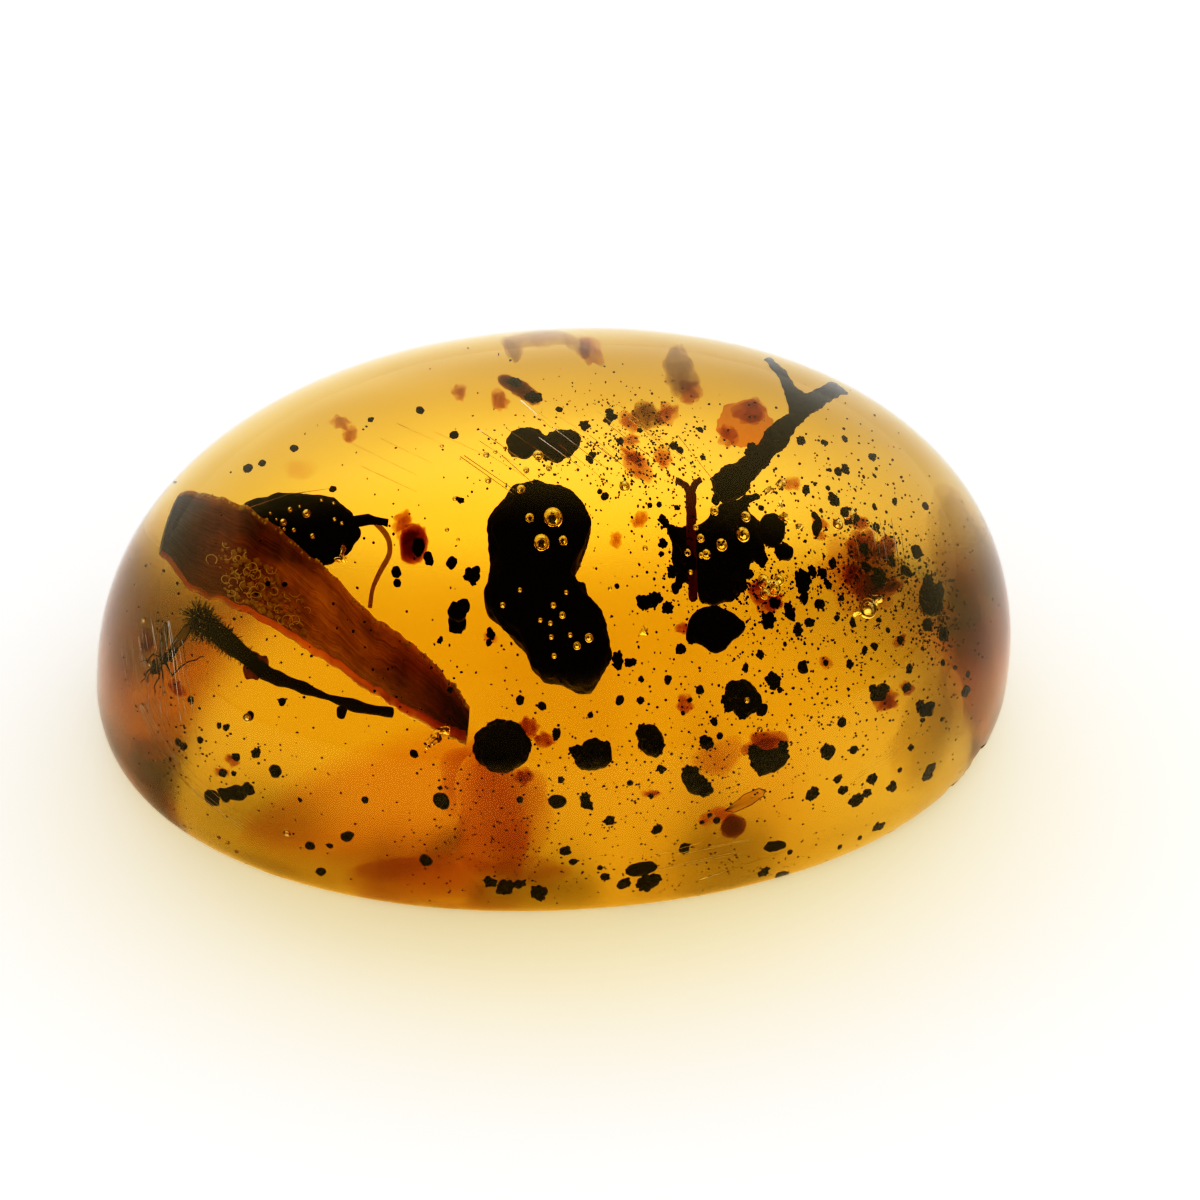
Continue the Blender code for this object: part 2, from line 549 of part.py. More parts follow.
def stone(pieces):
    bpy.context.view_layer.update()
    graph = bpy.context.evaluated_depsgraph_get()
    pockets = [pocket(piece, graph) for piece in pieces]
    top = half("copal_top", above=True)
    base = half("copal_base", above=False)
    for space in pockets:
        boolean(top, "DIFFERENCE", space)
        boolean(base, "DIFFERENCE", space)
    for number, (centre, half_sizes, turn) in enumerate(CHIPS, 1):
        cutter = add_object(f"chip_{number}", grain(centre, half_sizes, turn=turn, detail=1, seed=number), helper=True)
        boolean(base, "DIFFERENCE", cutter)


clear_scene()
bark_strip()
seed()
black_lump()
upper_debris()
rear_twig()
rear_flake()
wood_tangle()
corner_chip()
thin_stem()
black_flake()
hairy_twig()
leaf_scrap()
rear_scraps()
end_knot()
midge()
barklouse()
crumbs()
stone([thing for thing in bpy.data.objects if not thing.hide_render])
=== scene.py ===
"""Insect in copal: a polished oval dome of honey-yellow copal, with bark, twigs, crumbs and two tiny insects.

The sealed pieces lie where the CAD has them. The small ones that the CAD leaves out are placed by where they
are seen: a line of sight is bent at the polished face, as light is, and the speck is put on it.
"""

import math
import random

import bmesh
import bpy
from mathutils import Euler, Matrix, Vector, noise


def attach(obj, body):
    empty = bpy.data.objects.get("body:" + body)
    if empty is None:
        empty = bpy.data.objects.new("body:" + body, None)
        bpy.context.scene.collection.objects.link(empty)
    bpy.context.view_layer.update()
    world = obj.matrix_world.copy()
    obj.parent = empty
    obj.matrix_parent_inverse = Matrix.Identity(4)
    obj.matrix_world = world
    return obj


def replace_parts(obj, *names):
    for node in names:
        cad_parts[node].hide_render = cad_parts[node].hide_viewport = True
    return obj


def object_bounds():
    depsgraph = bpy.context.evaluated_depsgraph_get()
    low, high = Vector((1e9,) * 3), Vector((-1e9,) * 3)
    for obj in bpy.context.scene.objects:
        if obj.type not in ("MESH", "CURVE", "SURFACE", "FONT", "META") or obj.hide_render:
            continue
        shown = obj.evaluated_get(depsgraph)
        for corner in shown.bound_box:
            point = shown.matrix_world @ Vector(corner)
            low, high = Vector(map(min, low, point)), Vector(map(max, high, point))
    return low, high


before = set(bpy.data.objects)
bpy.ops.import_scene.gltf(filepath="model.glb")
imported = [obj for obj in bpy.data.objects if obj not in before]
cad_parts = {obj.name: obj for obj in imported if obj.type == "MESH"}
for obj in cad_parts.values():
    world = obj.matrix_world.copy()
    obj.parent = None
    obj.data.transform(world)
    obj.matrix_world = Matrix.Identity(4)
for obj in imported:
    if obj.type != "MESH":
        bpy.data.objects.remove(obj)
cad_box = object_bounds()


# --- The white sheet, the tent of light and the camera ---
# The stone rests on a sheet of white paper over a light box. The tent round it is brightest behind and to the
# right and has a white skirt. In front of the stone, the sheet and the skirt run out of light, and the
# sheet's colour is painted darker there as well as its glow. A warm pool of light in front of the stone's
# base, the light that comes through the resin and the stone's yellow shadow, is painted into the sheet's glow
# and colour.

MM = 0.001
FLOOR_SIZE = 1.2
FLOOR_DROP = 0.02 * MM  # the air under a stone that only rests on the sheet
FLOOR_COLOUR = (0.92, 0.92, 0.91)
FLOOR_ROUGHNESS = 0.9
FLOOR_GLOW = 0.40
# The warm pool is painted light and shade: its glow and the yellowed colour of the sheet stand for the light
# that comes through the resin and for the stone's shadow.
POOL_GLOW = 0.46
POOL_COLOUR = (1.0, 0.85, 0.48)
PAINTED_POOL_SHADE = (0.90, 0.82, 0.66)
POOL_SHIFT = 4.5 * MM  # how far in front of the stone's middle its pool of warm light lies
POOL_EDGES = (0.5, 1.72)  # where the pool starts and ends to fade, as shares of the stone's outline
SHEET_LIT = (-0.110, -0.030)  # where the sheet is dim and where it is fully lit, in metres to the back
SHEET_DIM = 0.62
PATCH_GLOW = 2.6  # the light box is masked to a patch a little smaller than the stone, which lies over it
PATCH_EDGES = (0.55, 1.0)
LAMP_SHIFT = 2.5 * MM  # the lamp under the patch is a little forward of its middle
LAMP_EDGES = (0.2, 1.5)
LAMP_FALL = 0.34  # what is left of its glow at the far edge
TENT_TURN = math.radians(25)  # the lamps behind stand this far round to the right
TENT_DARK = 0.35
TENT_BRIGHT = 1.35
TENT_EDGES = (0.10, 0.55)  # how far a direction agrees with the lamps' where the tent is dark and bright
SKIRT_BRIGHT = 1.15  # the tent's white skirt, down by the sheet
SKIRT_FRONT = 0.62  # it is in shade at the front
SKIRT_EDGES = (0.40, 0.72)  # how far up it starts and ends to fade: 0 is level and 1 is straight up
SKIRT_TURN = (-0.7, 0.0)  # how far back it is shaded and fully lit: -1 is the front and 0 is the side
VIEW_AZIMUTH = math.radians(-13.0)
VIEW_HEIGHT = math.radians(44.0)
VIEW_ROLL = math.radians(-4.71)
VIEW_DISTANCE = 0.25
FRAME_WIDTH = 1200  # of the picture, in pixels
PIXELS_PER_MM = 36.716  # at the stone
ORIGIN_PIXEL = (552.2, 696.7)  # where the middle of the stone's base is seen
TONE = ((0.04, 0.006), (0.10, 0.045), (0.25, 0.205), (0.45, 0.44), (0.7, 0.74))  # the film's response


def plain_material(name, colour, roughness):
    material = bpy.data.materials.new(name)
    material.use_nodes = True
    shader = material.node_tree.nodes["Principled BSDF"]
    shader.inputs["Base Color"].default_value = (*colour, 1.0)
    shader.inputs["Roughness"].default_value = roughness
    return material


def put(name, data):
    made = bpy.data.objects.new(name, data)
    bpy.context.scene.collection.objects.link(made)
    return made


def put_mesh(name, points, faces):
    mesh = bpy.data.meshes.new(name)
    mesh.from_pydata(points, [], faces)
    return put(name, mesh)


def eased(tree, source, limits, values):
    """A value that eases from the first of two values to the second as the source passes its limits."""
    ease = tree.nodes.new("ShaderNodeMapRange")
    ease.interpolation_type = "SMOOTHSTEP"
    for socket, value in zip(("From Min", "From Max", "To Min", "To Max"), (*limits, *values)):
        ease.inputs[socket].default_value = value
    tree.links.new(source, ease.inputs["Value"])
    return ease.outputs["Result"]


def joined(tree, kind, operation, first, second):
    step = tree.nodes.new(kind)
    step.operation = operation
    tree.links.new(first, step.inputs[0])
    tree.links.new(second, step.inputs[1])
    return step.outputs[0]


def vector_step(tree, operation, source, value, output="Vector"):
    step = tree.nodes.new("ShaderNodeVectorMath")
    step.operation = operation
    tree.links.new(source, step.inputs[0])
    step.inputs[1].default_value = value
    return step.outputs[output]


def axis(tree, source, name):
    axes = tree.nodes.new("ShaderNodeSeparateXYZ")
    tree.links.new(source, axes.inputs[0])
    return axes.outputs[name]


def lay_floor():
    half = FLOOR_SIZE / 2
    corners = [(-half, -half, 0), (half, -half, 0), (half, half, 0), (-half, half, 0)]
    floor = put_mesh("floor", corners, [(0, 1, 2, 3)])
    floor.location.z = -FLOOR_DROP
    paper = plain_material("white_sheet", FLOOR_COLOUR, FLOOR_ROUGHNESS)
    tree = paper.node_tree
    shader = tree.nodes["Principled BSDF"]
    place = tree.nodes.new("ShaderNodeTexCoord").outputs["Object"]
    in_light = eased(tree, axis(tree, place, "Y"), SHEET_LIT, (SHEET_DIM, 1.0))

    def fade(shift, edges, inner, outer):
        """A value that fades from the middle of an oval like the stone's to its edge and beyond."""
        shifted = vector_step(tree, "ADD", place, (0.0, shift, 0.0))
        scaled = vector_step(tree, "MULTIPLY", shifted, (1 / cad_box[1].x, 1 / cad_box[1].y, 0.0))
        outward = vector_step(tree, "LENGTH", scaled, (0.0, 0.0, 0.0), "Value")
        return eased(tree, outward, edges, (inner, outer))

    box = fade(0.0, PATCH_EDGES, PATCH_GLOW, 0.0)
    lamp = fade(LAMP_SHIFT, LAMP_EDGES, 1.0, LAMP_FALL)
    patch = joined(tree, "ShaderNodeMath", "MULTIPLY", box, lamp)
    pool = fade(POOL_SHIFT, POOL_EDGES, POOL_GLOW, FLOOR_GLOW)
    glow = joined(tree, "ShaderNodeMath", "MAXIMUM", patch, pool)
    glow = joined(tree, "ShaderNodeMath", "MULTIPLY", glow, in_light)
    tree.links.new(glow, shader.inputs["Emission Strength"])
    # The pool is painted into the sheet's glow and, as a yellow shadow, into its colour. Both are dimmed in
    # front as painted shade.
    for colour, painted_pool_colour, socket in (
        ((1.0, 1.0, 1.0), POOL_COLOUR, "Emission Color"),
        (FLOOR_COLOUR, PAINTED_POOL_SHADE, "Base Color"),
    ):
        tint = tree.nodes.new("ShaderNodeMix")
        tint.data_type = "RGBA"
        tint.inputs["A"].default_value = (*colour, 1.0)
        tint.inputs["B"].default_value = (*painted_pool_colour, 1.0)
        tree.links.new(fade(POOL_SHIFT, POOL_EDGES, 1.0, 0.0), tint.inputs["Factor"])
        dimmed = joined(tree, "ShaderNodeVectorMath", "MULTIPLY", tint.outputs["Result"], in_light)
        tree.links.new(dimmed, shader.inputs[socket])
    paper.cycles.emission_sampling = "NONE"  # the resin would block the light that it is asked for directly
    floor.data.materials.append(paper)


def hang_tent():
    world = bpy.data.worlds.new("white_tent")
    bpy.context.scene.world = world
    world.use_nodes = True
    world.cycles.sampling_method = "NONE"
    tree = world.node_tree
    direction = tree.nodes.new("ShaderNodeTexCoord").outputs["Generated"]
    lamps = (math.sin(TENT_TURN), math.cos(TENT_TURN), 0.0)
    agree = vector_step(tree, "DOT_PRODUCT", direction, lamps, "Value")
    cloth = eased(tree, agree, TENT_EDGES, (TENT_DARK, TENT_BRIGHT))
    low = eased(tree, axis(tree, direction, "Z"), SKIRT_EDGES, (1.0, 0.0))
    lit = eased(tree, axis(tree, direction, "Y"), SKIRT_TURN, (SKIRT_FRONT, SKIRT_BRIGHT))
    skirt = joined(tree, "ShaderNodeMath", "MULTIPLY", low, lit)
    background = tree.nodes["Background"]
    tree.links.new(joined(tree, "ShaderNodeMath", "MAXIMUM", cloth, skirt), background.inputs["Strength"])
    background.inputs["Color"].default_value = (1.0, 1.0, 1.0, 1.0)


level_right = Vector((math.cos(VIEW_AZIMUTH), math.sin(VIEW_AZIMUTH), 0.0))
level_ahead = Vector((-math.sin(VIEW_AZIMUTH), math.cos(VIEW_AZIMUTH), 0.0))
upright = level_ahead * math.sin(VIEW_HEIGHT) + Vector((0.0, 0.0, math.cos(VIEW_HEIGHT)))
view_back = Vector((0.0, 0.0, math.sin(VIEW_HEIGHT))) - level_ahead * math.cos(VIEW_HEIGHT)
view_right = level_right * math.cos(VIEW_ROLL) - upright * math.sin(VIEW_ROLL)
view_up = level_right * math.sin(VIEW_ROLL) + upright * math.cos(VIEW_ROLL)
eye = view_back * VIEW_DISTANCE
PIXEL = MM / PIXELS_PER_MM  # what one pixel of the picture spans at the stone, in metres


def sight(pixel):
    """The direction of the line of sight through a pixel of the picture."""
    across = (pixel[0] - ORIGIN_PIXEL[0]) * PIXEL
    rise = (ORIGIN_PIXEL[1] - pixel[1]) * PIXEL
    return (view_right * across + view_up * rise - eye).normalized()


def set_camera():
    camera = put("camera", bpy.data.cameras.new("camera"))
    back = -sight((FRAME_WIDTH / 2, FRAME_WIDTH / 2))
    right = view_up.cross(back).normalized()
    axes = Matrix((right, back.cross(right), back)).transposed()
    camera.matrix_world = Matrix.Translation(eye) @ axes.to_4x4()
    camera.data.sensor_width = 36.0
    camera.data.lens = VIEW_DISTANCE / PIXEL * camera.data.sensor_width / FRAME_WIDTH
    camera.data.clip_start = 0.01
    camera.data.clip_end = 5.0
    bpy.context.scene.camera = camera


def set_tone():
    """A film with some contrast: faint reflections go nearly black, and the sheet goes white."""
    view = bpy.context.scene.view_settings
    view.view_transform = "Standard"
    view.use_curve_mapping = True
    for light, response in TONE:
        view.curve_mapping.curves[3].points.new(light, response)
    view.curve_mapping.update()


lay_floor()
hang_tent()
set_camera()
set_tone()


# --- The copal ---
# One clear piece of hardened tree resin, ground to an oval with a flat base and polished. It has chips along
# the base's edge on the right, scratches on its crown, and bubbles and cracks sealed inside. It stands in for
# the two halves that the CAD parts it into.

HALF_LENGTH = cad_box[1].x
HALF_WIDTH = cad_box[1].y
HEIGHT = cad_box[1].z
GIRDLE_HEIGHT = 1.2 * MM
BASE_SHARE = 0.965  # the base's outline as a share of the girdle's
DOME_POWER = 2.3
PLAN_POWER = 2.08
RING_POINTS = 288
WALL_RINGS = 10
DOME_RINGS = 88
WAVES = 0.010 * MM  # how uneven the polish is
WAVE_PITCH = 0.55  # waves per millimetre
SEARCH_REACH = 14 * MM  # how far before and past the stone's middle its face is looked for
SEARCH_STEP = 0.25 * MM
COPAL_IOR = 1.54
BASE_ROUGHNESS = 0.26  # the base is less polished than the dome
COPAL = ((0.935, 0.825, 0.42), 420.0)  # the colour of light let through, and how fast it darkens per metre
GLOSS_TINT = (1.0, 0.84, 0.42)
SEALED_GLOSS = 0.1  # what the resin has wetted hardly shines
# The chips off the base's edge: the centre and half sizes of each in millimetres, and its turn
CHIPS = (
    ((11.8, -2.9, 0.3), (0.35, 0.45, 0.5), 15),
    ((11.2, -4.2, 0.2), (0.75, 0.9, 0.6), 30),
    ((10.3, -5.2, 0.1), (0.6, 0.6, 0.4), 40),
    ((8.6, -6.5, 0.0), (0.9, 0.4, 0.35), 30),
)
# Bubbles, by how far down its line of sight each lies: where it is seen and its radius in pixels
BUBBLES = {
    0.20: ((247, 718, 4), (150, 664, 2.5)),
    0.25: ((868, 608, 9),),
    0.28: ((589, 638, 4), (577, 646, 3.5)),
    0.30: (
        (625, 486, 5), (838, 524, 5), (287, 833, 4), (144, 620, 2.5), (442, 446, 2), (455, 498, 2.5),
        (447, 530, 2), (458, 540, 1.6), (747, 700, 2.5), (760, 730, 3), (540, 620, 2), (520, 590, 2),
        (562, 615, 3), (553, 605, 2.6), (550, 623, 2.2), (570, 635, 2.2), (551, 637, 2.2), (554, 656, 2.4),
        (566, 592, 2),
    ),
    0.32: ((503, 605, 2.4),),
    0.35: (
        (764, 582, 6), (773, 588, 7), (779, 580, 4.5), (765, 594, 4.5), (486, 455, 3), (495, 452, 2),
        (488, 480, 3), (645, 548, 2.5), (610, 588, 2),
    ),
    0.38: ((538, 455, 5), (549, 468, 3), (526, 470, 3)),
    0.40: (
        (714, 511, 4), (746, 517, 4.5), (283, 522, 3.2), (307, 513, 3.6), (294, 530, 2), (313, 536, 2.2),
        (284, 529, 1.6), (322, 500, 1.3), (334, 503, 1.3), (300, 506, 1.2), (290, 509, 2.2),
        (335, 519, 1.6), (342, 523, 1.5), (270, 513, 1.3), (276, 519, 1.2), (696, 527, 2.5),
        (702, 555, 2.5), (691, 572, 2), (722, 545, 5),
    ),
    0.42: (
        (553, 518, 8.5), (530, 518, 4), (542, 543, 7), (563, 541, 4), (521, 489, 4), (743, 535, 6),
        (701, 538, 3.5), (707, 554, 4), (688, 552, 3),
    ),
}
# Small glassy cracks: where each is seen, its half length and half width in pixels, its turn and its depth
CRACKS = (
    (769, 491, 5, 3, 20, 0.3), (780, 505, 4, 2.5, 60, 0.3), (785, 518, 5, 3, -30, 0.3),
    (799, 527, 4, 3, 10, 0.3), (781, 484, 5, 3, 40, 0.3), (851, 514, 6, 4, 30, 0.3),
    (874, 600, 7, 4, -20, 0.25), (859, 612, 5, 3, 30, 0.25), (344, 549, 5, 2.5, 60, 0.4),
    (341, 558, 4, 3, -20, 0.4), (185, 826, 4, 2, 30, 0.3), (219, 838, 3, 1.5, 30, 0.3),
    (228, 843, 3, 1.5, 30, 0.3), (237, 852, 3, 1.5, 30, 0.3), (435, 738, 10, 4, 35, 0.5),
    (428, 744, 6, 3, 80, 0.5), (443, 731, 5, 3, -10, 0.5), (643, 632, 5, 3, 30, 0.4),
)
# Scratches on the crown: the pixels that each runs between
SCRATCHES = (
    ((460, 456), (514, 494)), ((464, 455), (518, 492)), ((503, 456), (533, 483)), ((539, 437), (582, 468)),
    ((553, 427), (608, 469)), ((521, 400), (552, 428)), ((678, 435), (697, 459)), ((697, 459), (715, 482)),
    ((247, 508), (288, 494)), ((288, 494), (330, 488)), ((590, 440), (640, 478)), ((872, 522), (878, 560)),
    ((884, 528), (892, 582)), ((896, 540), (905, 600)), ((160, 640), (176, 664)), ((176, 640), (160, 662)),
    ((140, 610), (150, 720)), ((150, 606), (163, 730)), ((168, 620), (184, 745)), ((182, 640), (200, 760)),
    ((610, 425), (668, 470)), ((628, 418), (690, 462)), ((480, 430), (520, 458)), ((700, 880), (790, 850)),
)
# Families of polishing lines: the pixels that they start between, how far each runs and how many there are
LINE_FAMILIES = (
    ((470, 395), (640, 455), (52, 38), 14), ((122, 600), (178, 640), (14, 95), 12),
    ((852, 512), (905, 540), (7, 48), 6), ((350, 420), (460, 470), (60, 26), 5),
    ((830, 770), (900, 800), (70, -44), 6), ((640, 850), (700, 875), (80, -16), 5),
)
# The polishing lines on the left run along the rim, and each lies some way in from it
RIM_LINE = ((120, 645), (134, 708), (170, 775), (236, 832))
RIM_LINES = 22
RIM_INWARD = (0.95, -0.45)
RIM_BAND = 26
LINE_SPREAD = 4  # how far out of line each polishing line ends, in pixels
BIG_BUBBLE = 5  # a bubble of a bigger radius, in pixels, has finer faces
SCRATCH_WIDTH = 0.030 * MM
LINE_WIDTH = 0.016 * MM
SCRATCH_DEPTH = 0.022 * MM
SIDEWAYS = (0.31, 0.17, 0.93)  # across a thread's path: no thread runs this way
KNOT_PITCH = 2.7  # knots per millimetre of a thread


def wall_share(height):
    """The stone's size at a height up its short wall, as a share of the girdle's."""
    return BASE_SHARE + (1 - BASE_SHARE) * math.sqrt(1 - (1 - height / GIRDLE_HEIGHT) ** 2)


def dome_share(rise):
    """The same for the dome. The rise goes from 0 at the girdle to 1 at the top."""
    return (1 - rise**DOME_POWER) ** (1 / DOME_POWER)


def reach(point):
    """How far out of the stone a point lies: less than 0 is inside."""
    plan = (abs(point.x) / HALF_LENGTH) ** PLAN_POWER + (abs(point.y) / HALF_WIDTH) ** PLAN_POWER
    plan = plan ** (1 / PLAN_POWER)
    if not 0 <= point.z <= HEIGHT:
        return 1.0
    if point.z < GIRDLE_HEIGHT:
        return plan - wall_share(point.z)
    return plan - dome_share((point.z - GIRDLE_HEIGHT) / (HEIGHT - GIRDLE_HEIGHT))


def facing_out(point):
    """The direction that the polished face looks in at a point of it."""
    small = 0.02 * MM
    steps = [Vector((small, 0, 0)), Vector((0, small, 0)), Vector((0, 0, small))]
    return Vector([reach(point + step) - reach(point - step) for step in steps]).normalized()


def meet_face(pixel):
    """Where the line of sight through a pixel meets the polished face, and which way it runs on inside."""
    ray = sight(pixel)
    far = VIEW_DISTANCE - SEARCH_REACH
    while reach(eye + ray * far) > 0:
        far += SEARCH_STEP
        if far > VIEW_DISTANCE + SEARCH_REACH:
            return None
    near = far - SEARCH_STEP
    for _ in range(24):
        middle = (near + far) / 2
        near, far = (near, middle) if reach(eye + ray * middle) < 0 else (middle, far)
    point = eye + ray * far
    out = facing_out(point)
    lean = -ray.dot(out)
    inner = ray / COPAL_IOR + out * (lean / COPAL_IOR - math.sqrt(1 - (1 - lean * lean) / COPAL_IOR**2))
    return point, inner.normalized()


def seen_at(pixel, share):
    """The place seen at a pixel, a share of the way from the polished face down to the base."""
    point, inner = meet_face(pixel)
    return point + inner * (share * point.z / -inner.z)


def ring_faces(rings, sides):
    """The four-sided faces between rings of points, each ring outside or above the one before."""
    faces = []
    for row in range(rings - 1):
        low, high = row * sides, (row + 1) * sides
        for number in range(sides):
            after = (number + 1) % sides
            faces.append((low + number, low + after, high + after, high + number))
    return faces


def whole_stone():
    """The points and faces of the polished stone, with the faint unevenness that hand polishing leaves."""
    shares = []
    for number in range(WALL_RINGS):
        height = GIRDLE_HEIGHT * number / WALL_RINGS
        shares.append((height, wall_share(height)))
    for number in range(DOME_RINGS):
        rise = math.sin(math.pi / 2 * number / DOME_RINGS)
        shares.append((GIRDLE_HEIGHT + (HEIGHT - GIRDLE_HEIGHT) * rise, dome_share(rise)))
    points = []
    for height, share in shares:
        for number in range(RING_POINTS):
            angle = 2 * math.pi * number / RING_POINTS
            across, along = math.cos(angle), math.sin(angle)
            x = math.copysign(abs(across) ** (2 / PLAN_POWER), across) * HALF_LENGTH * share
            y = math.copysign(abs(along) ** (2 / PLAN_POWER), along) * HALF_WIDTH * share
            spot = Vector((x, y, height))
            if height > 0:
                spot *= 1 - WAVES / spot.length * (1 + noise.noise(spot / MM * WAVE_PITCH))
            points.append(spot)
    peak = len(points)
    points.append(Vector((0.0, 0.0, HEIGHT - WAVES)))
    faces = ring_faces(len(shares), RING_POINTS)
    for number in range(peak - RING_POINTS, peak):
        faces.append((number, number + 1 if number + 1 < peak else peak - RING_POINTS, peak))
    faces.append(tuple(range(RING_POINTS))[::-1])
    return points, faces


def ball(detail):
    """The corners and triangles of a ball of radius 1."""
    bm = bmesh.new()
    bmesh.ops.create_icosphere(bm, subdivisions=detail, radius=1.0)
    corners = [vertex.co.copy() for vertex in bm.verts]
    triangles = [tuple(vertex.index for vertex in face.verts) for face in bm.faces]
    bm.free()
    return corners, triangles


BALLS = {detail: ball(detail) for detail in (1, 2, 3, 4, 5)}


def with_ends(stops):
    """The stops of a curve, with one more before the first and one more after the last to steer it."""
    return [stops[0] * 2 - stops[1], *stops, stops[-1] * 2 - stops[-2]]


def on_curve(a, b, c, d, t):
    """A place on the smooth curve from b to c, where t goes from 0 to 1. It comes from a and goes on to d."""
    bend = (2 * a - 5 * b + 4 * c - d) * t * t + (3 * b - a - 3 * c + d) * t**3
    return 0.5 * (2 * b + (c - a) * t + bend)


class Heap:
    """Closed shapes that are gathered into one piece, in metres or in the units of axes of its own."""

    def __init__(self, axes=None):
        self.axes = axes or Matrix.Identity(4)
        self.points = []
        self.faces = []

    def add(self, points, faces, hollow=False):
        """A hollow is a space in the piece, so its faces look inwards."""
        first = len(self.points)
        self.points += [self.axes @ point for point in points]
        for face in faces:
            corners = face[::-1] if hollow else face
            self.faces.append(tuple(first + corner for corner in corners))

    def grain(
        self, centre, half_sizes, turn=0.0, tilt=0.0, detail=2, rough=0.2, lumps=1.9, seed=0, hollow=False
    ):
        """A knobbly grain: a ball that is stretched, then pushed in and out."""
        centre = Vector(centre)
        corners, triangles = BALLS[detail]
        turned = Euler((math.radians(tilt), 0.0, math.radians(turn))).to_matrix()
        shift = Vector((seed * 7.3, seed * 3.1, 0.0))
        points = []
        for corner in corners:
            push = 1.0 + rough * noise.noise(corner * lumps + shift) if rough else 1.0
            local = Vector([along * half for along, half in zip(corner, half_sizes)])
            points.append(centre + turned @ (local * push))
        self.add(points, triangles, hollow)

    def thread(self, stops, first_radius, last_radius, sides=8, steps=4, hollow=False, knots=0.0):
        """A thread along a smooth path through its stops, round and tapered."""
        ends = with_ends(stops)
        path = []
        for around in zip(ends, ends[1:], ends[2:], ends[3:]):
            path += [on_curve(*around, step / steps) for step in range(steps)]
        path.append(stops[-1])
        side = Vector(SIDEWAYS)
        points = []
        for number, centre in enumerate(path):
            ahead = path[min(number + 1, len(path) - 1)] - path[max(number - 1, 0)]
            side = (side - ahead * side.dot(ahead) / ahead.length_squared).normalized()
            across = ahead.cross(side).normalized()
            radius = first_radius + (last_radius - first_radius) * number / (len(path) - 1)
            radius *= 1.0 + knots * noise.noise(centre / MM * KNOT_PITCH)
            for step in range(sides):
                angle = 2 * math.pi * step / sides
                points.append(centre + radius * (side * math.cos(angle) + across * math.sin(angle)))
        faces = ring_faces(len(path), sides)
        faces.append(tuple(range(sides))[::-1])
        faces.append(tuple(range(len(points) - sides, len(points))))
        self.add(points, faces, hollow)

    def plate(self, outline, thickness):
        """A thin plate within an outline that has no deep bays. It is as thick as the vector given."""
        middle = sum(outline, Vector()) / len(outline)
        count = len(outline)
        points = [point + thickness / 2 for point in [*outline, middle]]
        points += [point - thickness / 2 for point in [*outline, middle]]
        faces = []
        for number in range(count):
            after = (number + 1) % count
            faces.append((number, after, count))
            faces.append((count + 1 + after, count + 1 + number, 2 * count + 1))
            faces.append((after, number, count + 1 + number, count + 1 + after))
        self.add(points, faces)

    def piece(self, name, material, slot, smooth_angle=50):
        made = put_mesh(name, self.points, self.faces)
        made.data.shade_smooth()
        made.data.set_sharp_from_angle(angle=math.radians(smooth_angle))
        made.data.materials.append(material)
        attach(made, "root")
        return made


def chipped_stone():
    """The stone with the chips knocked off it."""
    stone = put_mesh("whole_stone", *whole_stone())
    chips = Heap()
    for number, (centre, half_sizes, turn) in enumerate(CHIPS, 1):
        sizes = Vector(half_sizes) * MM
        chips.grain(Vector(centre) * MM, sizes, turn, detail=4, rough=0.35, lumps=2.5, seed=number)
    tool = put_mesh("chips", chips.points, chips.faces)
    cut = stone.modifiers.new("Chips", "BOOLEAN")
    cut.operation = "DIFFERENCE"
    cut.object = tool
    cut.solver = "EXACT"
    cut.use_self = True
    bpy.context.view_layer.update()
    done = stone.evaluated_get(bpy.context.evaluated_depsgraph_get())
    mesh = done.to_mesh()
    heap = Heap()
    heap.add([vertex.co for vertex in mesh.vertices], [tuple(face.vertices) for face in mesh.polygons])
    done.to_mesh_clear()
    for thing in (stone, tool):
        bpy.data.objects.remove(thing, do_unlink=True)
    return heap


def clear_resin(name, tint, density, bending=1.0, roughness=0.0):
    """A clear finish. Stained resin inside the copal bends light no further, so its own bending is 1."""
    resin = plain_material(name, (1.0, 1.0, 1.0), roughness)
    nodes, links = resin.node_tree.nodes, resin.node_tree.links
    shader = nodes["Principled BSDF"]
    shader.inputs["IOR"].default_value = bending
    shader.inputs["Transmission Weight"].default_value = 1.0
    shader.inputs["Specular Tint"].default_value = (*GLOSS_TINT, 1.0)
    absorb = nodes.new("ShaderNodeVolumeAbsorption")
    absorb.inputs["Color"].default_value = (*tint, 1.0)
    absorb.inputs["Density"].default_value = density
    links.new(absorb.outputs["Volume"], nodes["Material Output"].inputs["Volume"])
    return resin


def sealed_finish(name, colour, roughness):
    """A finish for what the resin has wetted, so that it hardly shines."""
    material = plain_material(name, colour, roughness)
    material.node_tree.nodes["Principled BSDF"].inputs["Specular IOR Level"].default_value = SEALED_GLOSS
    return material


def stained_finish(name, colour):
    """A finish for thin sealed scraps that let light straight through and colour it."""
    material = sealed_finish(name, colour, 0.3)
    shader = material.node_tree.nodes["Principled BSDF"]
    shader.inputs["Transmission Weight"].default_value = 1.0
    shader.inputs["IOR"].default_value = 1.0
    return material


def scratch(stone, pixels, width):
    """A hair-thin scratch across the polished face, through some pixels."""
    stops = []
    for pixel in pixels:
        found = meet_face(pixel)
        if not found:
            return
        stops.append(found[0] - facing_out(found[0]) * SCRATCH_DEPTH)
    stone.thread(stops, width / 2, width / 4, sides=5, steps=6, hollow=True)


def straight(start, finish):
    return [tuple(a + (b - a) * share for a, b in zip(start, finish)) for share in (0.0, 0.33, 0.67, 1.0)]


